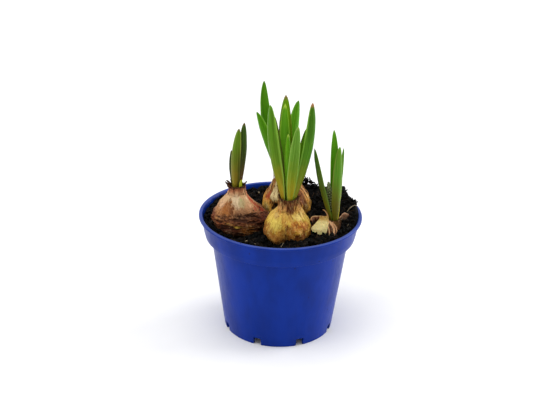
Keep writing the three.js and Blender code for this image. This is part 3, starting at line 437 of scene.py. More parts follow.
# ground lists a bulb's broad colours as [height, colour] from the soil up, and they climb towards its right
# by its slant. patches are [azimuth, height, reach round it, reach along it, colour, strength]. fibre holds
# the colours of its dark and its pale fibres, and the pale one also paints the highlight on raised folds.
# fibres holds the strengths of the dark ones, the pale ones and the streaks. The hollow colour is painted
# shade deep in its folds and creases and under the torn edges of its coats. torn holds the darkest and the
# palest colour of its flaps. soil is how far above the compost's level it is soiled. speckled is [height,
# reach] of its spots.
BULB_COLOURS = {
    "left": {
        # Its lower part is darker: partly the darker inner coat below the torn outer one, partly painted
        # shade under its overhang.
        "ground": [
            (58, (24, 12, 6)), (61, (44, 22, 8)), (64, (66, 32, 12)), (66.5, (80, 40, 16)),
            (68.6, (104, 56, 28)), (70.4, (122, 76, 46)), (72.2, (152, 104, 66)), (75, (178, 132, 92)),
            (79, (192, 156, 114)), (82.4, (202, 154, 112)), (84, (174, 108, 72)), (86, (84, 44, 24)),
        ],
        "fibre": ((150, 104, 66), (222, 194, 148)),
        "hollow": (52, 26, 16), "slant": 0.1, "soil": -4,
        "fibres": (0.4, 0.12, 0.25), "torn": ((96, 48, 24), (210, 160, 112)),
        "patches": [
            # The cream patch at azimuth -4 is partly pale skin and partly a painted highlight.
            (-4, 78, 4.4, 4.5, (218, 196, 160), 0.8), (-50, 79, 3.2, 3.4, (200, 168, 128), 0.8),
            (-46, 75, 3, 3, (168, 112, 62), 0.7), (-32, 74.6, 5.6, 4.8, (146, 88, 42), 0.95),
            (-16, 74.4, 1.7, 3.2, (104, 56, 26), 0.85), (-40, 72.8, 3, 1.6, (160, 100, 48), 0.8),
            (-62, 72, 3.6, 2.6, (178, 124, 74), 0.8), (-64, 76, 2.8, 2.8, (208, 166, 128), 0.85),
            (-48, 67.6, 4.4, 2.2, (148, 92, 48), 0.8), (-70, 66, 4, 2.4, (116, 68, 40), 0.8),
            (26, 77.6, 2.4, 3, (160, 146, 100), 0.7), (24, 79.4, 1, 1, (168, 166, 110), 0.8),
            (88, 81, 1.6, 2.4, (178, 92, 56), 0.85), (88, 78.6, 2.1, 2.4, (172, 70, 38), 0.85),
            (86, 76.4, 2.4, 2.4, (166, 60, 32), 0.85), (86, 74.4, 2.2, 2.4, (152, 52, 28), 0.85),
            (84, 72.4, 2.4, 2.4, (138, 46, 26), 0.85), (88, 72, 2.6, 4, (124, 40, 20), 0.9),
            (66, 74, 1.3, 3.4, (156, 66, 36), 0.8), (60, 79, 0.8, 3.4, (222, 186, 150), 0.8),
            (54, 75.4, 0.8, 2.6, (206, 160, 124), 0.7), (14, 73.4, 4.4, 1.6, (150, 108, 76), 0.6),
            (-2, 70.6, 3, 0.8, (176, 136, 100), 0.6), (62, 69, 4.6, 3.2, (92, 36, 18), 0.95),
            (30, 71, 5, 1.4, (96, 62, 42), 0.8), (4, 72, 5, 1.2, (112, 78, 56), 0.6),
            (-54, 68.5, 3.4, 1.6, (176, 124, 74), 0.8), (-6, 66.4, 3, 0.7, (168, 136, 46), 0.9),
            (-26, 67.4, 3, 0.7, (156, 112, 46), 0.8), (17, 64.4, 5.4, 3.6, (112, 64, 16), 0.95),
            (-30, 63.8, 7, 1.8, (80, 38, 20), 0.8), (-80, 68, 3, 3, (124, 56, 28), 0.8),
            (46, 66.6, 4, 2, (58, 28, 14), 0.9), (-50, 66.6, 4, 2, (128, 66, 34), 0.8),
            (-58, 63.6, 5, 2.4, (104, 56, 30), 0.8), (-30, 61.8, 5, 1.6, (92, 56, 32), 0.7),
        ],
        "speckled": (74.5, 4),
    },
    "centre": {
        "ground": [
            (60, (62, 36, 14)), (62, (112, 70, 28)), (64.6, (156, 104, 40)), (68, (188, 140, 48)),
            (73, (206, 172, 72)), (77, (206, 164, 76)), (79, (184, 130, 66)), (81, (156, 102, 56)),
            (83, (122, 76, 42)), (85, (86, 50, 24)),
        ],
        "fibre": ((150, 92, 38), (240, 222, 132)),
        "hollow": (96, 48, 18), "slant": 0, "soil": -3,
        "fibres": (0.6, 0.35, 0.45), "torn": ((88, 46, 30), (238, 186, 116)),
        "patches": [
            (-43, 72, 5.2, 5, (208, 182, 84), 0.9), (-50, 76, 2.2, 2.2, (200, 166, 96), 0.8),
            (-76, 67, 4, 4.4, (140, 84, 40), 0.85), (-37, 77.8, 0.8, 1.8, (172, 104, 46), 0.8),
            (-16, 67, 3, 3, (194, 138, 58), 0.8), (-2, 61.8, 4, 1.8, (72, 42, 18), 0.85),
            (46, 75.4, 3.2, 3, (230, 202, 116), 0.95), (62, 75.8, 1, 1, (196, 202, 110), 0.8),
            (24, 71.6, 4.4, 3, (172, 96, 34), 0.9), (52, 70, 4.4, 3.2, (158, 80, 24), 0.9),
            (40, 68.6, 3, 1.2, (196, 140, 70), 0.8), (58, 71.2, 2, 0.9, (216, 158, 76), 0.85),
            (20, 70.4, 1, 2, (206, 152, 76), 0.8), (80, 71, 1.6, 6, (228, 190, 84), 0.95),
            (8, 68.6, 3, 3.4, (160, 98, 40), 0.85), (-5, 69, 0.8, 6, (116, 68, 28), 0.7),
            (10, 75, 1.8, 3, (184, 130, 58), 0.7), (-12, 73, 1.6, 5, (190, 134, 58), 0.7),
            # The dark patch at azimuth 15 is partly the skin's own brown and partly painted shade in the
            # V-shaped hollow of the neck.
            (15, 79.8, 2.8, 3, (98, 50, 34), 0.95), (52, 79.6, 1.8, 1.8, (196, 146, 70), 0.8),
            (-30, 64.6, 3.4, 2.4, (176, 118, 52), 0.8), (-22, 61.6, 4, 1.6, (120, 76, 34), 0.8),
            (-58, 69, 1.6, 4, (168, 112, 50), 0.7), (-44, 67.4, 0.9, 3.4, (150, 96, 40), 0.7),
            (36, 65.6, 5, 2.2, (118, 66, 28), 0.9), (-52, 66, 2.4, 1.8, (150, 90, 40), 0.7),
            (68, 66.5, 2.4, 2, (150, 96, 40), 0.8),
        ],
        "speckled": (76, 2.5),
    },
    "rear": {
        "ground": [
            (62, (66, 40, 16)), (65, (136, 90, 36)), (68, (210, 156, 60)), (72, (202, 140, 58)),
            (76, (164, 106, 52)), (80, (176, 126, 66)), (83, (146, 94, 44)), (86, (96, 60, 28)),
        ],
        "fibre": ((140, 84, 42), (232, 206, 136)),
        "hollow": (64, 32, 12), "slant": 0, "soil": 0.2,
        "fibres": (0.5, 0.25, 0.4), "torn": ((92, 44, 26), (240, 222, 166)),
        "patches": [
            (-40, 75, 3, 4.2, (232, 214, 150), 0.95), (-46, 79, 2, 2.6, (210, 180, 120), 0.9),
            (-66, 74, 2.6, 2.8, (176, 78, 38), 1.0), (-60, 68.6, 3.8, 2.8, (214, 182, 96), 0.9),
            # The near-black patch at azimuth -32 is painted shade in the deep dent there.
            (-72, 66, 2.4, 2, (140, 92, 34), 0.7), (-32, 69.8, 3.5, 3.5, (20, 9, 3), 1.0),
            (-54, 68, 0.9, 2, (214, 186, 130), 0.9), (-84, 79.5, 1.4, 3.4, (176, 120, 66), 0.85),
            (26, 77, 3.4, 3, (132, 68, 42), 0.9), (36, 72.6, 4.4, 4.4, (120, 62, 34), 0.9),
            (56, 69.4, 3.4, 3.6, (92, 58, 20), 0.9), (72, 73.6, 1, 6, (206, 160, 80), 0.9),
            (60, 76.4, 1, 4, (186, 128, 66), 0.8), (82, 69, 2.4, 4, (104, 70, 30), 0.8),
            (40, 68, 4, 2, (120, 76, 30), 0.7),
        ],
        "speckled": (74, 4),
    },
    "right": {
        "ground": [
            (60, (30, 20, 10)), (64, (62, 38, 18)), (67, (92, 54, 26)), (69.4, (98, 68, 30)),
            (71, (100, 76, 22)), (72, (100, 80, 20)),
        ],
        "fibre": ((128, 86, 48), (230, 210, 140)),
        "hollow": (60, 34, 16), "slant": 0, "soil": 0.2,
        "fibres": (0.5, 0.25, 0.4), "torn": ((80, 44, 24), (214, 176, 120)),
        "patches": [(20, 68, 2, 3, (150, 104, 66), 0.8), (70, 67, 2, 2.4, (120, 78, 50), 0.8)],
        "speckled": (69, 2),
    },
}
# The flower spike's colours by height.
BUD_COLOURS = [(74, (66, 50, 12)), (82, (62, 66, 22)), (88, (94, 106, 56)), (93, (134, 146, 90))]
# Colours of the dry skins from their upper edge down.
DRY_COLOURS = {
    "cream": [(0.0, (160, 120, 56)), (0.2, (196, 160, 84)), (0.38, (230, 212, 144)), (1.0, (236, 220, 152))],
    "russet": [(0.0, (214, 168, 122)), (0.12, (190, 136, 90)), (0.25, (96, 54, 26)), (1.0, (104, 62, 34))],
    # The hollow colouring darkens down into the hollow under the arch: painted shade.
    "hollow": [(0.0, (170, 126, 84)), (0.3, (196, 152, 106)), (0.45, (104, 50, 28)), (1.0, (50, 22, 12))],
    "fan": [(0.0, (222, 180, 148)), (0.12, (170, 122, 92)), (0.32, (104, 66, 42)), (1.0, (48, 28, 16))],
    "tan": [(0.0, (184, 140, 92)), (0.6, (176, 128, 80)), (1.0, (190, 148, 98))],
}


# ---------------- shapes

def towards(azimuth):
    """The level direction of an azimuth, or of many."""
    turn = np.radians(azimuth)
    return np.stack([np.sin(turn), -np.cos(turn)], axis=-1)


def ease(value, low, high):
    """0 below low, 1 above high, smooth between."""
    share = np.clip((value - low) / (high - low), 0, 1)
    return share * share * (3 - 2 * share)


def mix(first, second, share):
    return first + (second - first) * share


def turn_to(azimuth, start):
    """The angle from one azimuth to another, from -180 to 180."""
    return (azimuth - start + 180) % 360 - 180


def circle(count):
    """Points evenly spaced round a circle of radius 1."""
    turn = np.arange(count) * 2 * pi / count
    return np.stack([np.cos(turn), np.sin(turn)], axis=-1)


def raised(level, z):
    """Level places, brought to their heights."""
    shape = np.broadcast_shapes(level.shape[:-1], np.shape(z))
    level, z = np.broadcast_to(level, (*shape, 2)), np.broadcast_to(z, shape)
    return np.concatenate([level, z[..., None]], axis=-1)


def unit(vectors):
    """The vectors at a length of 1."""
    return vectors / np.maximum(np.linalg.norm(vectors, axis=-1, keepdims=True), 1e-9)


def square_to(run, facing):
    """The way of facing, turned square to the run of a path."""
    return unit(facing - run * np.sum(facing * run, axis=-1, keepdims=True))


def smooth_curve(points, count):
    """Points spread along a smooth curve through the given ones."""
    knots = np.array(points, float)
    ends = np.concatenate([[2 * knots[0] - knots[1]], knots, [2 * knots[-1] - knots[-2]]])
    places = np.linspace(0, len(knots) - 1, count)
    first = np.minimum(places.astype(int), len(knots) - 2)
    t = (places - first).reshape(-1, *[1] * (knots.ndim - 1))
    a, b, c, d = (ends[first + k] for k in range(4))
    return b + 0.5 * t * (c - a + t * (2 * a - 5 * b + 4 * c - d + t * (3 * (b - c) + d - a)))


def grain(points, size, octaves=3):
    """Smooth noise from about -1 to 1 at each point, with features of about that size."""
    flat = (points / np.array(size)).reshape(-1, 3)
    values = [noise.fractal(point, 0.8, 2.1, octaves) for point in flat]
    return np.array(values).reshape(points.shape[:-1])


def pebbled(points, size):
    """Height from 0 to 1 of a surface packed with round crumbs of about that size."""
    flat = (points / size).reshape(-1, 3)
    near = np.array([noise.voronoi(point)[0][:2] for point in flat])
    return np.clip(near[:, 1] - near[:, 0], 0, 0.5).reshape(points.shape[:-1]) * 2


def rounded(corners, arc_points=5):
    """A profile through [radius, height, fillet] corners, with an arc of the fillet at each."""
    places = np.array([corner[:2] for corner in corners], float)
    profile = [places[0]]
    for before, corner, after, fillet in zip(places, places[1:], places[2:], [c[2] for c in corners[1:]]):
        to_before = (before - corner) / np.linalg.norm(before - corner)
        to_after = (after - corner) / np.linalg.norm(after - corner)
        reach = fillet / max(0.05, np.tan(np.arccos(np.clip(to_before @ to_after, -1, 1)) / 2))
        for t in np.linspace(0, 1, arc_points):
            start, end = corner + to_before * reach, corner + to_after * reach
            profile.append((1 - t) ** 2 * start + 2 * t * (1 - t) * corner + t * t * end)
    profile.append(places[-1])
    return np.array(profile)


def closed_rings(rings, start, end):
    """Points and faces of a closed surface through rings of points, with a fan at each end."""
    rings = np.asarray(rings, float)
    high, wide = rings.shape[:2]
    points = np.concatenate([[start], rings.reshape(-1, 3), [end]])
    last = len(points) - 1
    ids = 1 + np.arange(high * wide).reshape(high, wide)
    beside = np.roll(ids, -1, axis=1)
    quads = np.stack([ids[:-1], beside[:-1], beside[1:], ids[1:]], axis=-1).reshape(-1, 4)
    faces = quads.tolist()
    faces += [(0, b, a) for a, b in zip(ids[0], beside[0])]
    faces += [(last, a, b) for a, b in zip(ids[-1], beside[-1])]
    return points, faces


def sheet_normals(grid):
    """The way that a sheet looks at each point of its grid."""
    return unit(np.cross(np.gradient(grid, axis=0), np.gradient(grid, axis=1)))


def closed_sheet(grid, thickness):
    """Points and faces of a closed thin sheet round a grid of points."""
    off = sheet_normals(grid) * thickness / 2
    points = np.concatenate([(grid + off).reshape(-1, 3), (grid - off).reshape(-1, 3)])
    high, wide = grid.shape[:2]
    front = np.arange(high * wide).reshape(high, wide)
    back = front + high * wide
    faces = []
    for ids, order in ((front, 1), (back, -1)):
        cells = np.stack([ids[:-1, :-1], ids[1:, :-1], ids[1:, 1:], ids[:-1, 1:]], axis=-1)
        faces += cells.reshape(-1, 4)[:, ::order].tolist()
    border = np.concatenate([front[0, :-1], front[:-1, -1], front[-1, :0:-1], front[:0:-1, 0]])
    opposite = border + high * wide
    faces += [
        (border[k], border[(k + 1) % len(border)], opposite[(k + 1) % len(border)], opposite[k])
        for k in range(len(border))
    ]
    return points, faces


def ribbon(path, facing, width, cup=0.0, thickness=SKIN_THICKNESS, columns=5):
    """A thin curled strip along a path. facing is the way that it looks, and cup rolls its edges back."""
    path = np.asarray(path, float)
    run = unit(np.gradient(path, axis=0))
    out = square_to(run, np.asarray(facing, float))
    side = np.cross(run, out)
    across = np.linspace(-1, 1, columns)[None, :, None]
    half = np.broadcast_to(width, len(path))[:, None, None] / 2
    grid = path[:, None] + side[:, None] * across * half - out[:, None] * cup * half * across**2
    return closed_sheet(grid, thickness)


def joined(parts):
    """Several (points, faces) as one."""
    points, faces, start = [], [], 0
    for part_points, part_faces in parts:
        points.append(part_points)
        faces += [[k + start for k in face] for face in part_faces]
        start += len(part_points)
    return np.concatenate(points), faces


def mesh_object(name, points, faces, finish, sharp=None):
    """A new object from points in millimetres, smooth, with edges over the sharp angle left sharp."""
    mesh = bpy.data.meshes.new(name)
    mesh.from_pydata((np.asarray(points) * MM).tolist(), [], faces)
    mesh.validate()
    mesh.shade_smooth()
    if sharp is not None:
        mesh.set_sharp_from_angle(angle=radians(sharp))
    mesh.materials.append(finish)
    made = bpy.data.objects.new(name, mesh)
    bpy.context.scene.collection.objects.link(made)
    return made


def outward(made):
    """Turns the faces of a closed mesh so that they all look outward."""
    mesh = bmesh.new()
    mesh.from_mesh(made.data)
    bmesh.ops.recalc_face_normals(mesh, faces=mesh.faces)
    mesh.to_mesh(made.data)
    mesh.free()


def keep(made, name, values):
    """Stores a number or a vector for each point of a mesh, for its material to read."""
    values = np.asarray(values, float)
    kind = "FLOAT" if values.ndim == 1 else "FLOAT_VECTOR"
    stored = made.data.attributes.new(name, kind, "POINT")
    stored.data.foreach_set("value" if values.ndim == 1 else "vector", values.ravel())


def dress(made, slot, *nodes):
    """Fixes a piece to the pot, in place of the solids that it stands for."""
    outward(made)
    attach(made, "root")
    if nodes:
        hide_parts(*nodes)


# ---------------- shader nodes

class Nodes:
    """The nodes of a material or a node group, with short ways to add and link them."""

    def __init__(self, tree):
        self.tree = tree

    def link(self, value, socket):
        if isinstance(value, bpy.types.NodeSocket):
            self.tree.links.new(value, socket)
        else:
            socket.default_value = value

    def add(self, kind, inputs=None, **settings):
        node = self.tree.nodes.new("ShaderNode" + kind)
        for name, value in settings.items():
            setattr(node, name, value)
        for name, value in (inputs or {}).items():
            self.link(value, node.inputs[name])
        return node

    def math(self, operation, *values, clamp=False):
        node = self.add("Math", operation=operation, use_clamp=clamp)
        for value, socket in zip(values, node.inputs):
            self.link(value, socket)
        return node.outputs[0]

    def about(self, value, middle, reach):
        """How far the value lies above its middle, times a reach."""
        return self.math("MULTIPLY", self.math("SUBTRACT", value, middle), reach)

    def vector(self, operation, *values):
        node = self.add("VectorMath", operation=operation)
        for value, socket in zip(values, node.inputs):
            self.link(value, socket)
        return node.outputs["Value" if operation == "LENGTH" else "Vector"]

    def mix(self, share, first, second, blend="MIX"):
        node = self.add("Mix", data_type="RGBA", blend_type=blend)
        for value, index in ((share, 0), (first, 6), (second, 7)):
            self.link(value, node.inputs[index])
        return node.outputs[2]

    def lay_over(self, colour, over, mask, strength, blend="MIX"):
        """The colour with another laid over it where the mask shows, by the strength."""
        return self.mix(self.math("MULTIPLY", mask, strength), colour, over, blend)

    def spread(self, value, low, high, low_to=0.0, high_to=1.0):
        """The value's place between low and high, eased, from low_to to high_to."""
        inputs = {"Value": value, "From Min": low, "From Max": high, "To Min": low_to, "To Max": high_to}
        return self.add("MapRange", inputs, interpolation_type="SMOOTHSTEP").outputs[0]

    def ramp(self, value, stops):
        """A colour from stops of (value, colour), whatever range their values span."""
        low, high = stops[0][0], stops[-1][0]
        share = self.add("MapRange", {"Value": value, "From Min": low, "From Max": high}).outputs[0]
        node = self.add("ValToRGB", {"Fac": share})
        elements = node.color_ramp.elements
        while len(elements) < len(stops):
            elements.new(0.5)
        for element, (place, colour) in zip(elements, stops):
            element.position = (place - low) / (high - low)
            element.color = paint(*colour)
        return node.outputs["Color"]

    def noise(self, vector, size=1.0, detail=3.0, roughness=0.55):
        inputs = {"Vector": vector, "Scale": 1 / size, "Detail": detail, "Roughness": roughness}
        return self.add("TexNoise", inputs).outputs[0]

    def place(self):
        """Place on the object, in millimetres."""
        coordinates = self.add("TexCoord").outputs["Object"]
        return self.vector("MULTIPLY", coordinates, (1 / MM, 1 / MM, 1 / MM))

    def height(self):
        return self.add("SeparateXYZ", {"Vector": self.place()}).outputs["Z"]

    def stored(self, name, output="Fac"):
        return self.add("Attribute", attribute_name=name).outputs[output]

    def bump(self, height, distance, strength=1.0, normal=None):
        """The surface's normal, bent by a height of 0 to 1 that stands for a distance in millimetres."""
        inputs = {"Height": height, "Distance": distance * MM, "Strength": strength}
        if normal:
            inputs["Normal"] = normal
        return self.add("Bump", inputs).outputs["Normal"]

    def group(self, tree, **inputs):
        node = self.add("Group", node_tree=tree)
        for name, value in inputs.items():
            self.link(value, node.inputs[name.replace("_", " ")])
        return node.outputs


def node_group(name, inputs, outputs, build):
    """A shader node group, made once, with its sockets in order. build gets its nodes and inputs."""
    made = bpy.data.node_groups.get(name)
    if made:
        return made
    tree = bpy.data.node_groups.new(name, "ShaderNodeTree")
    for socket, default in inputs.items():
        kind = "NodeSocketVector" if isinstance(default, tuple) else "NodeSocketFloat"
        tree.interface.new_socket(socket, in_out="INPUT", socket_type=kind).default_value = default
    for socket, kind in outputs.items():
        tree.interface.new_socket(socket, in_out="OUTPUT", socket_type=f"NodeSocket{kind}")
    nodes = Nodes(tree)
    entry = tree.nodes.new("NodeGroupInput")
    leave = tree.nodes.new("NodeGroupOutput")
    for socket, value in build(nodes, entry.outputs).items():
        nodes.link(value, leave.inputs[socket])
    return tree


def patch_group():
    """A soft-edged patch of another colour round a place on the surface."""
    def build(nodes, given):
        place = nodes.place()
        away = nodes.vector("SUBTRACT", place, given["Centre"])
        away = nodes.vector("DIVIDE", away, given["Reach"])
        streaks = nodes.noise(nodes.vector("DIVIDE", nodes.stored("growth", "Vector"), (0.7, 0.7, 3.2)))
        both = nodes.math("ADD", nodes.noise(place, 1.6, 4.0), streaks)
        wander = nodes.about(both, 1.0, given["Raggedness"])
        distance = nodes.math("ADD", nodes.vector("LENGTH", away), wander)
        return {"Mask": nodes.spread(distance, 0.5, 1.15, 1.0, 0.0)}

    inputs = {"Centre": (0.0, 0.0, 0.0), "Reach": (1.0, 1.0, 1.0), "Raggedness": 1.5}
    return node_group("Skin patch", inputs, {"Mask": "Float"}, build)


def fibre_group():
    """Fine fibres that run up a bulb from its base to its neck."""
    def build(nodes, given):
        growth = nodes.stored("growth", "Vector")
        sway = nodes.add("TexNoise", {"Vector": growth, "Scale": 0.25, "Detail": 2.0}).outputs["Color"]
        sway = nodes.vector("SUBTRACT", sway, (0.5, 0.5, 0.5))
        growth = nodes.vector("ADD", growth, nodes.vector("MULTIPLY", sway, (6, 6, 0)))
        cell = nodes.add("CombineXYZ", {"X": given["Width"], "Y": given["Width"], "Z": given["Length"]})
        fine = nodes.noise(nodes.vector("DIVIDE", growth, cell.outputs[0]), 1.0, 2.0)
        twice = nodes.vector("MULTIPLY", cell.outputs[0], (3.1, 3.1, 1.7))
        coarse = nodes.noise(nodes.vector("DIVIDE", growth, twice), 1.0, 2.0)
        both = nodes.math("ADD", nodes.math("MULTIPLY", fine, 0.6), nodes.math("MULTIPLY", coarse, 0.4))
        dark = nodes.spread(both, 0.47, 0.38)
        light = nodes.spread(both, 0.53, 0.62)
        broad = nodes.noise(nodes.vector("DIVIDE", growth, (1.9, 1.9, 6.0)), 1.0, 3.0)
        blotch = nodes.math("MULTIPLY", nodes.spread(broad, 0.5, 0.3), nodes.spread(fine, 0.3, 0.6))
        return {"Dark": dark, "Light": light, "Blotch": blotch, "Height": nodes.spread(both, 0.3, 0.7)}

    inputs = {"Width": 0.5, "Length": 6.0}
    outputs = dict.fromkeys(("Dark", "Light", "Blotch", "Height"), "Float")
    return node_group("Skin fibres", inputs, outputs, build)


def speckle_group():
    """Small scattered spots."""
    def build(nodes, given):
        scaled = nodes.vector("DIVIDE", nodes.place(), given["Spacing"])
        cells = nodes.add("TexVoronoi", {"Vector": scaled, "Scale": 1.0})
        chance = nodes.add("SeparateXYZ", {"Vector": cells.outputs["Color"]}).outputs["X"]
        present = nodes.math("LESS_THAN", chance, given["Share"])
        spot = nodes.spread(cells.outputs["Distance"], 0.34, 0.16)
        return {"Mask": nodes.math("MULTIPLY", spot, present)}

    inputs = {"Spacing": (1.0, 1.0, 1.0), "Share": 0.4}
    return node_group("Speckles", inputs, {"Mask": "Float"}, build)


def dust_group():
    """Compost that clings to a surface: thick at the soil line, thinner above it."""
    def build(nodes, given):
        place = nodes.place()
        above = nodes.math("SUBTRACT", nodes.height(), given["Level"])
        share = nodes.math("DIVIDE", above, given["Reach"])
        clumps = nodes.about(nodes.noise(place, 0.9, 5.0, 0.65), 0.5, 4.5)
        return {"Mask": nodes.spread(nodes.math("ADD", share, clumps), 0.75, 0.2)}

    return node_group("Clinging soil", {"Level": 64.0, "Reach": 3.0}, {"Mask": "Float"}, build)


def material(name, build, **fixed):
    """A Principled material. fixed sets its plain sockets, and build returns the ones that vary."""
    made = bpy.data.materials.new(name)
    made.use_nodes = True
    nodes = Nodes(made.node_tree)
    shader = made.node_tree.nodes["Principled BSDF"]
    for socket, value in fixed.items():
        shader.inputs[socket.replace("_", " ")].default_value = value
    for socket, value in build(nodes).items():
        nodes.link(value, shader.inputs[socket])
    return made


# ---------------- pot

def pot_material(looks):
    def build(nodes):
        place = nodes.place()
        cloudy = nodes.noise(nodes.vector("DIVIDE", place, (14, 14, 30)), 1.0, 3.0)
        darker = shaded(looks.colour, 0.72)
        colour = nodes.mix(nodes.spread(cloudy, 0.3, 0.7), darker, (*looks.colour, 1.0))
        # The top of the lip is painted paler: a painted highlight where the rim mirrors the sky.
        lip_highlight = nodes.math("ADD", nodes.height(), nodes.math("MULTIPLY", cloudy, 0.5))
        lip_highlight = nodes.spread(lip_highlight, POT_HEIGHT - 0.3, POT_HEIGHT + 0.3, 0.0, 0.3)
        colour = nodes.mix(lip_highlight, colour, paint(104, 122, 186))
        dust = nodes.group(speckle_group(), Spacing=(1.6, 1.6, 1.6), Share=0.012)["Mask"]
        colour = nodes.lay_over(colour, paint(24, 18, 20), dust, 0.8)
        scuffs = nodes.noise(nodes.vector("DIVIDE", place, (1.2, 1.2, 5)), 1.0, 5.0, 0.7)
        rough = nodes.spread(scuffs, 0.35, 0.75, looks.roughness, looks.roughness + 0.14)
        peel = nodes.noise(place, 0.7, 2.0)
        waves = nodes.noise(nodes.vector("DIVIDE", place, (9, 9, 24)), 1.0, 2.0)
        normal = nodes.bump(waves, 0.6, 0.35)
        normal = nodes.bump(peel, 0.02, 0.5, normal)
        return {"Base Color": colour, "Roughness": rough, "Normal": normal}

    return material("Pot plastic", build, Specular_IOR_Level=looks.shine, IOR=1.49)


def pot_profile():
    """The pot's section from the underside of its floor round the lip to the top of its floor."""
    inside = [(radius, z) for radius, z in zip(INSIDE_RADIUS, INSIDE_Z)]
    foot = FOOT_RADIUS - 0.2
    return rounded([
        (0.5, FLOOR_Z[0], 0),
        (foot - FOOT_RING - 0.4, FLOOR_Z[0], 0.4),
        (foot - FOOT_RING, 0, 0.3),
        (foot + 0.05, 0, 0.6),
        (*BODY_TOP, 0.4),
        (*COLLAR_FOOT, 0.35),
        (*CREASE, 1.0),
        (COLLAR_TOP_RADIUS, LIP_Z, 0.5),
        (RIM_RADIUS, LIP_Z + 0.2, 0.35),
        (RIM_RADIUS, POT_HEIGHT, 0.55),
        (inside[5][0], POT_HEIGHT, 0.5),
        *[(*inside[k], 0.6) for k in (4, 3, 2, 1, 0)],
        (0.5, FLOOR_Z[1], 0),
    ])


def slot_boxes():
    """The blocks that cut the drain slots where the wall meets the floor."""
    boxes = []
    corners = [(x, y, z) for z in (-1, 1) for x, y in ((-1, -1), (1, -1), (1, 1), (-1, 1))]
    sides = [(3, 2, 1, 0), (4, 5, 6, 7), (0, 1, 5, 4), (1, 2, 6, 5), (2, 3, 7, 6), (3, 0, 4, 7)]
    for k in range(SLOTS["count"]):
        way = towards(SLOTS["first"] + k * 360 / SLOTS["count"])
        across = np.array([-way[1], way[0]])
        points = []
        for x, y, z in corners:
            reach = SLOTS["outer"] if x > 0 else SLOTS["inner"]
            points.append([*(way * reach + across * y * SLOTS["width"] / 2), z * SLOTS["height"]])
        boxes.append((np.array(points), sides))
    return joined(boxes)


def cut(made, points, faces):
    """Cuts a closed shape out of a piece."""
    cutter = mesh_object("cutter", points, faces, made.data.materials[0])
    outward(cutter)
    outward(made)
    modifier = made.modifiers.new("cut", "BOOLEAN")
    modifier.operation = "DIFFERENCE"
    modifier.solver = "EXACT"
    modifier.object = cutter
    result = bpy.data.meshes.new_from_object(made.evaluated_get(bpy.context.evaluated_depsgraph_get()))
    made.modifiers.remove(modifier)
    made.data = result
    bpy.data.objects.remove(cutter)


def make_pot(looks):
    profile = pot_profile()
    rings = raised(profile[:, None, :1] * circle(looks.sides), profile[:, 1:])
    points, faces = closed_rings(rings, (0, 0, FLOOR_Z[0]), (0, 0, FLOOR_Z[1]))
    pot = mesh_object("pot_shell", points, faces, pot_material(looks))
    cut(pot, *slot_boxes())
    pot.data.shade_smooth()
    pot.data.set_sharp_from_angle(angle=radians(38))
    dress(pot, "pot", "pot")


# ---------------- bulbs

def widest(bulb):
    return max(bulb["outline"])


def mouth(bulb):
    return np.array([*bulb["neck"], bulb["outline"][-1][1]], float)


def bulb_axis(bulb, z):
    """Where the axis of a bulb runs at each height: it leans from its middle to its neck."""
    share = ease(np.asarray(z, float), *bulb["bend"])[..., None]
    return mix(np.array(bulb["centre"], float), np.array(bulb["neck"], float), share)


def tunic_edge(tunic, growth, azimuth):
    """Height of the torn lower edge of one papery coat."""
    height, wave, _, ragged = tunic
    turn = np.radians(azimuth)
    slow = wave * (np.sin(2.3 * turn + 1) + 0.5 * np.sin(5.1 * turn))
    level = growth * (1, 1, 0) + (0, 0, height)
    return height + slow * 0.6 + ragged * grain(level, 2.2, 3)


def bulb_radius(bulb, radius, z, azimuth, growth):
    """Radius in each direction, with how much painted shadow darkens the skin under the torn edges of the
    coats.
    """
    turn = np.radians(azimuth)
    body = ease(radius / widest(bulb)[0], NECK_SHARE, BODY_SHARE)
    depth = mix(1, bulb["depth"], body)
    r = radius / np.hypot(np.sin(turn), np.cos(turn) / depth)
    groove = bulb.get("groove")
    if groove:
        off = turn_to(azimuth, groove["azimuth"])
        low = 1 - ease(z, groove["low"], groove["high"])
        across = np.exp(-((off / groove["width"]) ** 2)) + 0.2 * np.exp(-((off / groove["apron"]) ** 2))
        r = r * (1 - body * groove["depth"] * mix(0.35, 1, low) * across)
    for flat_azimuth, distance in bulb["press"]:
        facing = np.cos(np.radians(azimuth - flat_azimuth))
        flat = np.where(facing > 0.2, distance / np.maximum(facing, 0.2), 1e3)
        r = -0.3 * np.logaddexp(-r / 0.3, -flat / 0.3)
    for dent_azimuth, height, reach, dent in bulb["dents"]:
        sideways = radians(1) * turn_to(azimuth, dent_azimuth) * radius
        away = (sideways**2 + (z - height) ** 2) / reach**2
        r = r - dent * np.exp(-away * 1.6)
    ribs, rib_height = bulb["ribs"]
    r = r + rib_height * body * np.sin(ribs * (turn + 0.08 * z))
    dark = np.zeros_like(r)
    for tunic in bulb["tunics"]:
        under = tunic_edge(tunic, growth, azimuth) - z
        r = r - tunic[2] * ease(under, -0.15, 0.25)
        # Painted shadow in a band just under each torn edge.
        dark = np.maximum(dark, np.exp(-((under - 0.35) / 0.4) ** 2))
    return r, dark


def smooth_radius(bulb, azimuth, z):
    """Radius of a bulb at each azimuth and height, before its coats are torn."""
    radii, heights = zip(*bulb["outline"])
    radius = np.interp(z, heights, radii)
    r, _ = bulb_radius({**bulb, "tunics": []}, radius, z, azimuth, None)
    return r


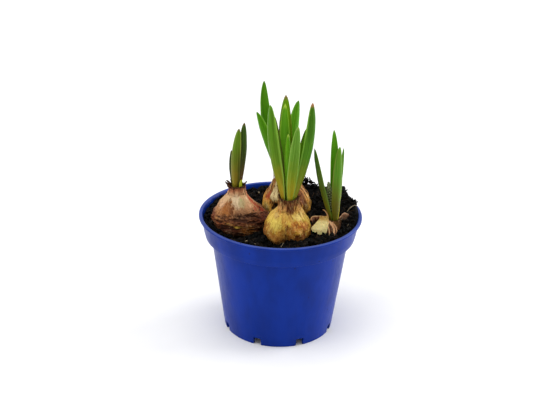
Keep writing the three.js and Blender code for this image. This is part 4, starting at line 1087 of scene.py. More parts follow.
def crease_depth_and_shade(bulb, growth, z, azimuth, radius):
    """How deep the long creases cut in, and how much painted shade darkens them there."""
    wander = 0.45 * grain(growth + 70, (2.4, 2.4, 1.3), 3)
    depth_at, crease_shade = np.zeros(growth.shape[:2]), np.zeros(growth.shape[:2])
    shares = np.linspace(0, 1, CREASE_STEPS)
    for places, width, depth in bulb["creases"]:
        for share, (place_azimuth, place_z) in zip(shares, smooth_curve(places, CREASE_STEPS)):
            sideways = radians(1) * turn_to(azimuth, place_azimuth) * radius
            away = (np.hypot(sideways, z - place_z) + wander) / width
            strength = sin(pi * mix(0.08, 0.92, share)) ** 0.5
            inside = strength * np.exp(-(away**2))
            depth_at = np.maximum(depth_at, depth * inside)
            crease_shade = np.maximum(crease_shade, inside * min(1, depth / 0.7))
    return depth_at, crease_shade


def bulb_relief(bulb, growth, z, azimuth, radius):
    """Fine height of the skin, and its folds: painted shade below 0 in the hollows, painted highlight above 0
    on the ridges.
    """
    body = ease(radius / widest(bulb)[0], 0.3, 0.6)
    low, high, depth, tilt, long, tall = bulb["wrinkles"]
    high = high + tilt * np.sin(np.radians(azimuth))
    zone = ease(z, low - 1.5, low + 1) * (1 - ease(z, high - 1, high + 1.5))
    ridged = 0.6 * np.abs(grain(growth + 50, (long, long, tall), 2))
    ridged = ridged + 0.4 * np.abs(grain(growth + 9, (0.4 * long, 0.4 * long, 0.5 * tall), 2))
    folds = zone * (0.42 - 1.7 * ridged)
    cut_in, crease_shade = crease_depth_and_shade(bulb, growth, z, azimuth, radius)
    middle, reach, crinkle_depth = bulb["crinkles"]
    near = np.exp(-(((z - middle) / reach) ** 2))
    crinkles = crinkle_depth * near * (0.2 - np.abs(grain(growth + 31, (1.9, 1.9, 1.1), 2)))
    fine = grain(growth, (1.3, 1.3, 9), 2)
    relief = depth * folds + crinkles + 0.08 * fine + bulb["lumps"] * body * grain(growth + 20, (5, 5, 7), 3)
    # The colours show the folds and creases most, and the crinkles and fibres less: raised folds get a
    # painted highlight, and hollows and creases painted shade.
    fold_light_and_shade = 2.2 * folds + np.clip(6 * crinkles, -0.36, 0.3) + 0.25 * fine - 0.95 * crease_shade
    return relief - cut_in, fold_light_and_shade


def bulb_place(bulb, azimuth, z):
    """A place on the smooth outside of a bulb."""
    return (*(bulb_axis(bulb, z) + towards(azimuth) * smooth_radius(bulb, azimuth, z)), z)


def flap(bulb, azimuth, foot, tip, half, lift, seed):
    """A torn flap of skin that comes out of the side of a bulb and narrows to a ragged tip."""
    rows, columns = FLAP_GRID
    up = np.linspace(0, 1, rows)[:, None]
    across = np.linspace(-1, 1, columns)[None]
    edge = np.stack(np.broadcast_arrays(across * 3.4 + seed * 7, 0 * up, 0 * up), axis=-1)
    reach = 1 - 0.45 * across**2 + 0.5 * grain(edge, 1, 2)
    z = foot + (tip - foot) * up * np.clip(reach, 0.25, 1.15)
    turn = azimuth + half * across * (1 - 0.5 * up**1.5)
    growth = raised(towards(turn) * widest(bulb)[0], z)
    off = mix(-0.5, lift, ease(up, 0, 0.4)) + 0.3 * up * grain(growth + 33 * seed, (1.6, 1.6, 2.4), 3)
    level = towards(turn) * (smooth_radius(bulb, turn, z) + off)[..., None] + bulb_axis(bulb, z)
    made = closed_sheet(raised(level, z), FLAP_THICKNESS)
    return made, np.tile(growth.reshape(-1, 3), (2, 1))


def shreds(bulb, roll):
    """Torn strips of dry skin that stand on the rim of the neck, each curling outward."""
    made = []
    top = mouth(bulb)
    rim = bulb["outline"][-1][0]
    for azimuth, tall, lean, half_width in bulb["frays"]:
        for _ in range(SHREDS_PER_FRAY):
            az = azimuth + roll.uniform(-0.7, 0.7) * half_width
            way = np.array([*towards(az), 0])
            length = (tall + 0.5) * roll.uniform(0.7, 1.1)
            sway = np.array([*towards(az + 90), 0]) * roll.uniform(-0.8, 0.8)
            t = np.linspace(0, 1, 8)[:, None]
            out = (0.15 + lean * t**1.5 + roll.uniform(-0.2, 0.5) * t**3) * way
            path = top + way * (rim - 0.25) + out + sway * t**2 + UP * (length * t - 0.9)
            path = path - UP * roll.uniform(0, 0.7) * lean * t**3
            width = roll.uniform(1, 2.1) * (1 - 0.75 * t[:, 0] ** 1.5)
            made.append(ribbon(path, way, width, roll.uniform(-0.6, 0.9), SHRED_THICKNESS))
    return made


def neck_rings(bulb, last, way, growth):
    """The torn rim of a neck, and its inside down to the bottom of the leaves' socket."""
    ragged = 0.35 + 0.45 * grain(growth + 90, 1.3, 2)
    rim = last + raised(0.1 * way, ragged)
    inner = last + raised(-0.4 * way, ragged - 0.1)
    socket = [mouth(bulb) + raised(way * bulb["socket"], -depth) for depth in (0.3, SOCKET_DEPTH)]
    return [rim, inner, *socket]


def make_bulb(name, looks, roll):
    bulb = BULBS[name]
    share_of_size = min(1, widest(bulb)[0] / 12)
    rows, columns = (int(count * share_of_size) for count in (looks.rows, looks.columns))
    outline = smooth_curve(bulb["outline"], rows)
    radius, z = outline[:, :1], outline[:, 1:]
    azimuth = np.arange(columns)[None] * 360.0 / columns
    way = towards(azimuth)
    growth = raised(way * widest(bulb)[0], z)
    r, dark = bulb_radius(bulb, radius, z, azimuth, growth)
    relief, folds = bulb_relief(bulb, growth, z, azimuth, radius)
    r = r + looks.relief * relief
    rings = raised(bulb_axis(bulb, z) + r[..., None] * way, z)
    rings = np.concatenate([rings, neck_rings(bulb, rings[-1], way[0], growth[-1])])
    foot = (*bulb["centre"], bulb["outline"][0][1] - 0.2)
    points, faces = closed_rings(rings, foot, mouth(bulb) - (0, 0, SOCKET_DEPTH))
    dry_strips = shreds(bulb, roll)
    strip_points, _ = joined(dry_strips)
    flaps = [flap(bulb, *row[:5], seed) for seed, row in enumerate(bulb["flaps"])]
    whole = joined([(points, faces), *dry_strips, *[sheet for sheet, _ in flaps]])
    made = mesh_object(f"bulb_{name}_skin", *whole, bulb_material(name, looks))

    def store(attribute, on_body, on_strips, on_flaps):
        """Stores values for the points of the body, then of the strips and of each flap."""
        keep(made, attribute, np.concatenate([on_body, on_strips, *on_flaps]))

    strips = np.zeros(len(strip_points))
    plain = [np.zeros(len(grown)) for _, grown in flaps]
    tail = np.concatenate([np.tile(growth[-1], (NECK_RINGS, 1)), growth[-1, :1]])
    grown = np.concatenate([[growth[0, 0]], growth.reshape(-1, 3), tail])
    store("growth", grown, strip_points * (3, 3, 1), [grown_flap for _, grown_flap in flaps])
    neck = np.zeros(NECK_RINGS * columns + 1)
    # torn carries the painted shadow under the coats' torn edges.
    store("torn", np.concatenate([[0], dark.ravel(), neck]), strips, plain)
    # fold carries the painted highlight on raised folds and the painted shade in their hollows and creases.
    store("fold", np.concatenate([[0], folds.ravel(), neck]), strips, plain)
    # inside marks the neck's socket, which the material paints dark: painted shade in the recess.
    inside = neck.copy()
    inside[2 * columns:] = 1
    store("inside", np.concatenate([np.zeros(rows * columns + 1), inside]), strips, plain)
    dry = np.zeros(len(points))
    dry[1 + (rows - 1) * columns:1 + rows * columns] = 0.3
    dry[1 + rows * columns:1 + (rows + 2) * columns] = 1
    store("dry", dry, strips + 1, plain)
    shades = [np.full(len(grown), row[5]) for (_, grown), row in zip(flaps, bulb["flaps"])]
    store("shade", np.zeros(len(points)), strips, shades)
    dress(made, bulb["slot"], f"bulb_{name}")


def ground_colour(nodes, bulb, colours):
    """The broad colours of a bulb: its ground by height, and the patches on it."""
    place = nodes.place()
    height = nodes.math("ADD", nodes.height(), nodes.about(nodes.noise(place, 4.0, 3.0), 0.5, 5.0))
    sideways = nodes.add("SeparateXYZ", {"Vector": place}).outputs["X"]
    sideways = nodes.math("SUBTRACT", sideways, bulb["centre"][0])
    height = nodes.math("SUBTRACT", height, nodes.math("MULTIPLY", sideways, colours["slant"]))
    colour = nodes.ramp(height, colours["ground"])
    for azimuth, z, across, along, tint, strength in colours["patches"]:
        centre = bulb_place(bulb, azimuth, z)
        mask = nodes.group(patch_group(), Centre=centre, Reach=(across, across, along))["Mask"]
        colour = nodes.lay_over(colour, paint(*tint), mask, strength)
    return colour


def bulb_material(name, looks):
    bulb, colours = BULBS[name], BULB_COLOURS[name]
    dark_fibre, pale_fibre_and_highlight = (paint(*tint) for tint in colours["fibre"])
    darkest, palest = (paint(*tint) for tint in colours["torn"])
    # The colour of painted shade in the folds, the creases and under the torn edges.
    hollow = paint(*colours["hollow"])
    dark_share, pale_share, streak_share = (share * looks.fibres for share in colours["fibres"])

    def build(nodes):
        place = nodes.place()
        colour = ground_colour(nodes, bulb, colours)
        fibres = nodes.group(fibre_group(), Width=0.5, Length=7.0)
        colour = nodes.lay_over(colour, pale_fibre_and_highlight, fibres["Light"], pale_share)
        shade = nodes.stored("shade")
        colour = nodes.mix(nodes.spread(shade, 0.0, 1.0, 0.0, 0.95), colour, palest)
        colour = nodes.mix(nodes.spread(shade, 0.0, -1.0, 0.0, 0.95), colour, darkest)
        colour = nodes.lay_over(colour, dark_fibre, fibres["Blotch"], streak_share, "MULTIPLY")
        colour = nodes.lay_over(colour, dark_fibre, fibres["Dark"], dark_share, "MULTIPLY")
        # Painted highlight on raised folds, in the pale fibre colour, and painted shade in the hollows.
        fold = nodes.stored("fold")
        colour = nodes.mix(nodes.spread(fold, 0.35, 0.9, 0.0, 0.2), colour, pale_fibre_and_highlight)
        colour = nodes.mix(nodes.spread(fold, 0.05, -0.95, 0.0, 0.92), colour, hollow)
        middle, reach = colours["speckled"]
        near = nodes.math("ABSOLUTE", nodes.math("SUBTRACT", nodes.height(), middle))
        spots = nodes.group(speckle_group(), Spacing=(1.3, 1.3, 0.9), Share=0.5)["Mask"]
        spots = nodes.math("MULTIPLY", spots, nodes.spread(near, reach, 0.5 * reach, 0.1, 0.6))
        colour = nodes.mix(spots, colour, paint(92, 50, 32))
        # Painted shadow under the torn edges of the coats.
        torn = nodes.math("MULTIPLY", nodes.stored("torn"), nodes.spread(nodes.noise(place, 2.0), 0.4, 0.6))
        colour = nodes.lay_over(colour, hollow, torn, 0.8)
        dry = nodes.ramp(nodes.noise(place, 0.8, 3.0), [(0.3, (38, 20, 12)), (0.7, (98, 62, 38))])
        colour = nodes.mix(nodes.stored("dry"), colour, dry)
        soil = nodes.group(dust_group(), Level=SOIL_LEVEL + colours["soil"], Reach=looks.soil_reach)["Mask"]
        colour = nodes.mix(soil, colour, paint(26, 20, 14))
        # Painted shade inside the neck's socket.
        colour = nodes.mix(nodes.stored("inside"), colour, paint(26, 20, 10))
        rough = nodes.spread(nodes.noise(place, 1.2, 4.0), 0.3, 0.7, 0.42, 0.66)
        rough = nodes.math("ADD", rough, nodes.math("MULTIPLY", soil, 0.3))
        normal = nodes.bump(fibres["Height"], 0.12, 0.7)
        normal = nodes.bump(nodes.noise(place, 0.5, 4.0), 0.12, 0.5, normal)
        return {"Base Color": colour, "Roughness": rough, "Normal": normal}

    return material(f"Bulb skin {name}", build, Specular_IOR_Level=0.08)


# ---------------- compost

def inside_radius(z):
    return np.interp(z, INSIDE_Z, INSIDE_RADIUS)


def soil_height(x, y):
    """Height of the compost before its crumbs: a shallow dish, the heaps, and soft lumps."""
    z = SOIL_LEVEL + SOIL_DISH * (np.hypot(x, y) / MOUTH_RADIUS) ** 4
    for heap_x, heap_y, rise, reach_x, reach_y in HEAPS:
        z = z + rise * np.exp(-(((x - heap_x) / reach_x) ** 2) - ((y - heap_y) / reach_y) ** 2)
    z = z + 0.5 * np.sin(0.31 * x + 1.3) * np.cos(0.27 * y - 0.4)
    return z + 0.35 * np.sin(0.63 * x - 0.52 * y + 2.1) + 0.25 * np.cos(0.9 * x + 0.71 * y)


def into_bulb(x, y):
    """How far each place lies inside the nearest bulb's outline at the soil line, negative outside."""
    deepest = np.full(np.shape(x), -1e3)
    z = SOIL_LEVEL + 1
    for bulb in BULBS.values():
        centre = bulb_axis(bulb, z)
        azimuth = np.degrees(np.arctan2(x - centre[0], centre[1] - y))
        inside = smooth_radius(bulb, azimuth, z) - np.hypot(x - centre[0], y - centre[1])
        deepest = np.maximum(deepest, inside)
    return deepest


def make_compost(looks):
    way = circle(looks.sides)
    # The wall side goes up from the pot's floor, and the top runs inward from the edge.
    lifts = (GAP, GAP, GAP, 0)
    wall = [raised(way * (inside_radius(z) - SOIL_WALL_GAP), z + lift) for z, lift in zip(INSIDE_Z, lifts)]
    share = np.linspace(0, 1, looks.rings)[:, None]
    edge_way = way * (MOUTH_RADIUS - SOIL_WALL_GAP)
    edge_z = np.minimum(soil_height(*edge_way.T), SOIL_TOP_Z) - SOIL_EDGE_DROP
    edge_radius = inside_radius(edge_z) - SOIL_WALL_GAP
    radius = SOIL_MIDDLE + (edge_radius[None] - SOIL_MIDDLE) * (1 - share)
    level = radius[..., None] * way
    x, y = level[..., 0], level[..., 1]
    flat = raised(level, 0)
    rough = 0.9 * (pebbled(flat, 2.6) - 0.4) + 0.5 * (pebbled(flat + 30, 1.2) - 0.4) + 0.5 * grain(flat, 3, 4)
    calm = ease(share, 0, 0.03)
    z = mix(edge_z[None], soil_height(x, y), ease(share, 0, 0.05)) + looks.roughness * rough * calm
    z = z - 4 * ease(into_bulb(x, y), 0.3, 1.4)
    rings = np.concatenate([wall, raised(level, z)])
    centre_z = float(soil_height(0.0, 0.0))
    points, faces = closed_rings(rings, (0, 0, FLOOR_Z[1] + GAP), (0, 0, centre_z))
    soil = mesh_object("compost_bed", points, faces, compost_material())
    keep(soil, "tint", np.zeros(len(points)))
    dress(soil, "compost", "compost")


def sphere(detail):
    """Points and triangles of a ball of radius 1."""
    mesh = bmesh.new()
    bmesh.ops.create_icosphere(mesh, subdivisions=detail, radius=1)
    points = np.array([vertex.co for vertex in mesh.verts])
    faces = [[vertex.index for vertex in face.verts] for face in mesh.faces]
    mesh.free()
    return points, faces


def lump_shape(detail, roll):
    """Points and faces of one angular crumb about its own middle."""
    points, faces = sphere(detail)
    bulge = 1 + 0.55 * grain(points + roll.uniform(0, 50, 3), 0.9, 2)
    return points * bulge[:, None] * roll.uniform(0.6, 1.15, 3), faces


def turned(points, roll):
    """The points turned to a random attitude."""
    axis = Vector(roll.normal(size=3))
    return points @ np.array(Matrix.Rotation(roll.uniform(0, 2 * pi), 3, axis))


def free_place(roll, size, clear):
    """A random place on the compost, clear of the bulbs and the wall."""
    while True:
        reach = (MOUTH_RADIUS - 1.2 - size) * roll.random() ** 0.5
        turn = roll.uniform(0, 2 * pi)
        x, y = reach * cos(turn), reach * sin(turn)
        z = float(soil_height(x, y))
        if reach + size < inside_radius(z) - SOIL_WALL_GAP and float(into_bulb(x, y)) < clear:
            return np.array([x, y, z])


def spikes(centre, size, count, roll):
    """Stiff bits of fibre and bark that stick out of a clod."""
    made = []
    for _ in range(count):
        way = roll.normal(size=3)
        way[2] = abs(way[2])
        way /= np.linalg.norm(way)
        bend = roll.normal(size=3) * 0.25
        t = np.linspace(0, 1, 5)[:, None]
        path = centre + (way * t + bend * t**2) * size * roll.uniform(1.1, 1.7)
        width = roll.uniform(0.8, 1.6) * (1 - 0.8 * t[:, 0] ** 2)
        made.append(ribbon(path, roll.normal(size=3), width, 0.5, 0.5, 3))
    return made


def strand(path, radius):
    """A thin round fibre along a path."""
    path = np.asarray(path, float)
    run = unit(np.gradient(path, axis=0))
    side = unit(np.cross(run, (0.13, 0.21, 1)))
    up = np.cross(side, run)
    x, y = circle(5).T[..., None]
    radius = np.broadcast_to(radius, len(path))[:, None, None]
    rings = path[:, None] + radius * (side[:, None] * x + up[:, None] * y)
    return closed_rings(rings, path[0], path[-1])


def fibre_path(roll):
    """A crooked fibre that lies on the compost and arches a little over it."""
    start = free_place(roll, 2.5, -2.5)
    heading = roll.uniform(0, 2 * pi)
    length = roll.uniform(2, 6)
    heading = heading + np.cumsum(roll.normal(size=FIBRE_STEPS)) * 0.25
    x = start[0] + np.cumsum(np.cos(heading)) * length / FIBRE_STEPS
    y = start[1] + np.cumsum(np.sin(heading)) * length / FIBRE_STEPS
    lift = 0.5 + 0.5 * np.sin(pi * np.linspace(0, 1, FIBRE_STEPS)) * roll.uniform(0, 1.6)
    return np.stack([x, y, soil_height(x, y) + lift], axis=-1)


def make_crumbs(looks):
    roll = np.random.default_rng(looks.seed)
    fine = [lump_shape(1, roll) for _ in range(CRUMB_SHAPES)]
    coarse = [lump_shape(2, roll) for _ in range(CRUMB_SHAPES)]
    parts, tints = [], []

    def add(part, tint):
        parts.append(part)
        tints.append(np.full(len(part[0]), tint))

    def add_lump(shapes, place, size):
        points, faces = shapes[roll.integers(len(shapes))]
        add((turned(points, roll) * size + place, faces), roll.random())

    for _ in range(looks.crumbs):
        size = mix(*CRUMB_SIZES, roll.random() ** 3.2)
        place = free_place(roll, size, -0.3 * size)
        add_lump(coarse if size > COARSE_CRUMB else fine, place + (0, 0, 0.45 * size), size)
    for x, y, above, size in CLODS:
        centre = np.array([x, y, float(soil_height(x, y)) + above])
        for _ in range(CLOD_LUMPS):
            way = roll.normal(size=3)
            way *= size * roll.uniform(0.35, 0.95) / np.linalg.norm(way)
            add_lump(coarse, centre + way * (0.8, 0.8, 0.9), size * roll.uniform(0.25, 0.5))
        for spike in spikes(centre, size, CLOD_SPIKES, roll):
            add(spike, roll.random())
    for _ in range(looks.fibres):
        path = fibre_path(roll)
        x, y = path[:, 0], path[:, 1]
        if np.hypot(x, y).max() < MOUTH_RADIUS - 1.5 and into_bulb(x, y).max() < -0.4:
            add(strand(path, roll.uniform(0.07, 0.16)), 1.0 + roll.random())
    points, faces = joined(parts)
    crumbs = mesh_object("compost_crumbs", points, faces, compost_material(), sharp=40)
    keep(crumbs, "tint", np.concatenate(tints))
    dress(crumbs, "compost")


def compost_material():
    made = bpy.data.materials.get("Potting compost")
    if made:
        return made

    def build(nodes):
        place = nodes.place()
        mottle = nodes.noise(place, 1.8, 5.0, 0.65)
        colour = nodes.ramp(mottle, [(0.3, (2, 3, 5)), (0.54, (8, 8, 8)), (0.76, (27, 22, 16))])
        tint = nodes.stored("tint")
        colour = nodes.mix(nodes.spread(tint, 0.7, 1.0, 0.0, 0.6), colour, paint(34, 27, 21))
        colour = nodes.mix(nodes.spread(tint, 1.1, 2.0), colour, paint(66, 50, 36))
        rough = nodes.spread(nodes.noise(place, 0.7, 3.0), 0.35, 0.7, 0.5, 0.95)
        normal = nodes.bump(nodes.noise(place, 0.6, 5.0, 0.7), 0.35, 0.9)
        return {"Base Color": colour, "Roughness": rough, "Normal": normal}

    return material("Potting compost", build, Specular_IOR_Level=0.07)


# ---------------- leaves

def bezier(ends, count):
    a, b, c, d = (np.array(point, float) for point in ends)
    t = np.linspace(0, 1, count)[:, None]
    return (1 - t) ** 3 * a + 3 * t * (1 - t) ** 2 * b + 3 * t * t * (1 - t) * c + t**3 * d


def leaf_path(bulb, root, tip, bow, count):
    """The middle line of a leaf: it rises from its seat in the socket, bows out and ends at the tip."""
    top = mouth(bulb)
    azimuth, distance = root
    seat = top + (*towards(azimuth) * distance, GAP - SOCKET_DEPTH)
    end = top + np.array(tip, float)
    if tip[2] < 10:
        return np.linspace(seat, end, count)
    neck = mix(seat, end, 0.1)
    neck[2] = top[2] + 3
    belly = mix(seat, end, 0.55) + np.array([*bow, 0.0]) * BOW_PULL
    return bezier((seat, neck, belly, end), count)


def make_leaf(bulb_name, leaf_name, looks, seed):
    root, tip, bow, width, foot, face, tone = LEAVES[bulb_name][leaf_name]
    count, around = looks.stations, looks.around
    path = leaf_path(BULBS[bulb_name], root, tip, bow, count)
    run = unit(np.gradient(path, axis=0))
    t = np.linspace(0, 1, count)
    out = square_to(run, raised(towards(mix(*face, ease(t, 0, 0.7))), 0))
    side = np.cross(run, out)
    into = np.clip((t - (1 - LEAF_TIP_SHARE)) / LEAF_TIP_SHARE, 0, 1)
    half = mix(foot, width + 0.4, ease(t, 0, 0.5)) / 2 * (1 - into**2) ** LEAF_TIP_FULLNESS
    half = np.maximum(half, 0.04)
    thick = np.interp(t, (0, 0.5, 1), LEAF_THICKNESS) * np.minimum(1, 0.3 + half)
    channel = half * np.interp(t, (0, 0.5, 1), LEAF_CHANNEL)
    s, lift = circle(around).T[:, None]
    # The edges waver a little, and the blade thins towards them.
    length = np.linalg.norm(path[-1] - path[0])
    along = t[:, None] * length
    places = np.stack(np.broadcast_arrays(s * 3 + seed * 10, along, 0 * s), axis=-1)
    waver = 0.16 * looks.waver * grain(places, 7, 2) * np.minimum(1, half[:, None])
    waver = waver * ease(t, 0.1, 0.3)[:, None]
    arch = lift * thick[:, None] / 2 * (0.35 + 0.65 * np.sqrt(1 - s**2))
    rise = -channel[:, None] * s**2 + arch + waver
    rings = path[:, None] + side[:, None] * (s * half[:, None])[..., None] + out[:, None] * rise[..., None]
    points, faces = closed_rings(rings, rings[0].mean(axis=0), path[-1] + run[-1] * 0.05)
    made = mesh_object(f"blade_{bulb_name}_{leaf_name}", points, faces, leaf_material(tone, looks))
    blade = np.stack(np.broadcast_arrays(s * half[:, None], along, s), axis=-1).reshape(-1, 3)
    keep(made, "blade", np.concatenate([[blade[0]], blade, [blade[-1] * (0, 1, 0)]]))
    keep(made, "up", np.concatenate([[0], np.repeat(t, around), [1]]))
    shift = np.broadcast_to(lift, (count, around)).ravel()
    keep(made, "outer", np.concatenate([[0], shift, [0]]))
    dress(made, "leaf", f"leaf_{bulb_name}_{leaf_name}")


def leaf_material(tone, looks):
    name = f"Leaf {tone}"
    made = bpy.data.materials.get(name)
    if made:
        return made
    stops, tip, margin = LEAF_COLOURS[tone]

    def build(nodes):
        place = nodes.place()
        blade = nodes.add("SeparateXYZ", {"Vector": nodes.stored("blade", "Vector")}).outputs

        def lines(width, length):
            """Lines that run up the blade, of about that width and length."""
            across = nodes.math("DIVIDE", blade["X"], width)
            along = nodes.math("DIVIDE", blade["Y"], length)
            return nodes.noise(nodes.add("CombineXYZ", {"X": across, "Y": along}).outputs[0], 1.0, 2.0)

        cloud = nodes.about(nodes.noise(place, 5.0, 3.0), 0.5, 0.22)
        up = nodes.math("ADD", nodes.stored("up"), cloud)
        colour = nodes.ramp(up, stops)
        veins, bands = lines(0.3, 22.0), lines(1.2, 30.0)
        colour = nodes.mix(nodes.spread(veins, 0.5, 0.66, 0.0, 0.3), colour, paint(*margin))
        deeper = shaded(paint(*stops[-2][1]), 0.62)
        colour = nodes.mix(nodes.spread(veins, 0.48, 0.34, 0.0, 0.35), colour, deeper)
        colour = nodes.mix(nodes.spread(bands, 0.54, 0.68, 0.0, 0.28), colour, paint(*margin))
        colour = nodes.mix(nodes.spread(bands, 0.46, 0.34, 0.0, 0.45), colour, deeper)
        edge = nodes.math("ABSOLUTE", blade["Z"])
        colour = nodes.mix(nodes.spread(edge, 0.78, 0.97, 0.0, 0.85), colour, paint(*margin))
        # The inner face of a blade is painted darker: painted shade.
        inner = nodes.spread(nodes.stored("outer"), 0.1, -0.3, 0.0, looks.inner_shade)
        colour = nodes.mix(inner, colour, deeper)
        # A darker half of the blade, which on the olive leaf is painted shadow in its fold.
        if tone in STRIPES_AND_SHADE:
            start, end, top, stripe_and_shade_colour = STRIPES_AND_SHADE[tone]
            stripe_and_shade = nodes.spread(nodes.math("ADD", blade["Z"], cloud), start, end)
            stripe_and_shade = nodes.math("MULTIPLY", stripe_and_shade, nodes.spread(nodes.stored("up"), top, top - 0.35))
            colour = nodes.lay_over(colour, paint(*stripe_and_shade_colour), stripe_and_shade, 0.75)
        colour = nodes.mix(nodes.spread(nodes.stored("up"), 0.955, 0.99, 0.0, 0.85), colour, paint(*tip))
        spots = nodes.group(speckle_group(), Spacing=(1.4, 1.4, 1.9), Share=0.05)["Mask"]
        colour = nodes.lay_over(colour, paint(130, 130, 60), spots, 0.35)
        rough = nodes.spread(nodes.noise(place, 1.4, 3.0), 0.3, 0.7, looks.roughness, looks.roughness + 0.16)
        normal = nodes.bump(veins, 0.1, 0.45)
        normal = nodes.bump(nodes.noise(place, 0.35, 2.0), 0.02, 0.4, normal)
        return {"Base Color": colour, "Roughness": rough, "Normal": normal}

    return material(
        name, build, Specular_IOR_Level=0.1, Subsurface_Weight=0.1, Subsurface_Scale=0.5 * MM,
        Subsurface_Radius=(0.6, 1.0, 0.25),
    )


# ---------------- flower bud

def make_bud(looks):
    """The young flower spike: a short stem and a tapering head of closed florets in a close spiral."""
    roll = np.random.default_rng(looks.seed)
    bulb = BULBS["right"]
    top = mouth(bulb)

    def axis(height):
        share = ease(height, 0, BUD["top"])
        lean = np.array(BUD["root"]) + np.array(BUD["lean"]) * share
        return top + (lean[0], lean[1], height)

    stem_heights = np.linspace(GAP - SOCKET_DEPTH, BUD["foot"] + 3, 14)
    stem = strand([axis(height) for height in stem_heights], BUD["stem"])
    parts, tips = [stem], [np.zeros(len(stem[0]))]
    ball, faces = sphere(2)
    for k in range(looks.florets):
        share = (k + 0.5) / looks.florets
        around = BUD["radius"] * mix(0.6, 1, ease(share, 0, 0.3)) * (1 - share**2.8) ** 0.5
        way = np.array([*towards(FLORET_TURN * k), 0.0])
        place = axis(mix(BUD["foot"], BUD["top"] - 0.6, share)) + way * around * 0.72
        size = mix(0.95, 0.5, share) * roll.uniform(0.9, 1.1)
        tall = 1 + 0.18 * ball[:, 2:]
        shape = ball * (0.85, 0.85, 1.2) * (tall * (1 - 0.25 * np.clip(ball[:, 2:], 0, 1) ** 2))
        tilt = Matrix.Rotation(radians(35 - 30 * share), 3, Vector((way[1], -way[0], 0)))
        parts.append(((shape @ np.array(tilt)) * size + place, faces))
        tips.append(np.clip(ball[:, 2], 0, 1))
    points, faces = joined(parts)
    made = mesh_object("flower_spike", points, faces, bud_material())
    keep(made, "tips", np.concatenate(tips))
    dress(made, "bud", "flower_bud")


def bud_material():
    def build(nodes):
        place = nodes.place()
        low = nodes.ramp(nodes.height(), BUD_COLOURS)
        pale = nodes.mix(nodes.spread(nodes.stored("tips"), 0.2, 0.95, 0.0, 0.5), low, paint(152, 160, 116))
        cloud = nodes.noise(place, 0.5, 3.0)
        colour = nodes.mix(nodes.spread(cloud, 0.4, 0.7, 0.0, 0.4), pale, paint(66, 76, 44))
        normal = nodes.bump(nodes.noise(place, 0.25, 3.0), 0.05, 0.6)
        rough = nodes.spread(cloud, 0.3, 0.7, 0.5, 0.7)
        return {"Base Color": colour, "Roughness": rough, "Normal": normal}

    return material(
        "Closed florets", build, Specular_IOR_Level=0.2, Subsurface_Weight=0.1, Subsurface_Scale=0.4 * MM
    )


# ---------------- dry skins

def torn_sheet(grid, crumple, tear, seed):
    """A crumpled grid whose last row is torn into notches."""
    noise_at = grid + seed * 13
    bumps = crumple * (grain(noise_at, 2.2, 3) + 0.5 * grain(noise_at + 40, 0.9, 2))
    grid = grid + sheet_normals(grid) * bumps[..., None]
    notch = tear * (0.5 + grain(noise_at[-1] * (1, 1, 0), 1.6, 3))
    share = np.linspace(0, 1, len(grid))[:, None, None] ** 1.5
    lift = unit(grid[0] - grid[-1])
    return grid + lift[None] * np.clip(notch, 0, 4)[None, :, None] * share


def finer(rows, high, wide):
    """A finer grid through the rows of points."""
    tall = smooth_curve(np.array(rows, float), high)
    return smooth_curve(tall.transpose(1, 0, 2), wide).transpose(1, 0, 2)


def skin_object(name, grid, slot, node, tone, thickness=SKIN_THICKNESS, extra=()):
    points, faces = closed_sheet(grid, thickness)
    count = len(points)
    if extra:
        points, faces = joined([(points, faces), *extra])
    made = mesh_object(name, points, faces, dry_skin_material(tone))
    down = np.broadcast_to(np.linspace(0.02, 1, grid.shape[0])[:, None], grid.shape[:2]).ravel()
    keep(made, "down", np.concatenate([down, down, np.zeros(len(points) - count)]))
    keep(made, "growth", points * (2, 2, 1))
    dress(made, slot, *node)


def make_skins():
    front = torn_sheet(finer(FLAKES["front"], 40, 44), 0.3, 1.3, 4)
    skin_object("skin_front_flake", front, "skin_cream", ["skin_front"], "cream")
    curls = []
    for places, width in RIBBONS:
        path = smooth_curve(places, RIBBON_STEPS)
        taper = width * (1 - 0.6 * np.linspace(0, 1, RIBBON_STEPS) ** 3)
        curls.append(ribbon(path, (0.25, -1, 0.1), taper, cup=-0.6, thickness=0.22, columns=9))
    under = torn_sheet(finer(STRIP_ROWS, 24, 18), 0.2, 1.2, 9)
    skin_object("skin_strip_ribbons", under, "skin_brown", ["skin_strip"], "russet", 0.25, curls)
    rim = finer(FLAKES["rim"], 44, 26)
    rim = rim + UP * (0.2 * grain(rim, 2, 3))[..., None]
    skin_object("skin_rim_arch", rim.transpose(1, 0, 2), "skin_brown", ["skin_rim"], "hollow")
    scale = finer(FLAKES["scale"], 34, 20)
    scale = scale + UP * (0.3 * grain(scale, 1.8, 3))[..., None]
    skin_object("skin_scale_dry", scale.transpose(1, 0, 2)[::-1], "skin_brown", ["skin_scale"], "fan")


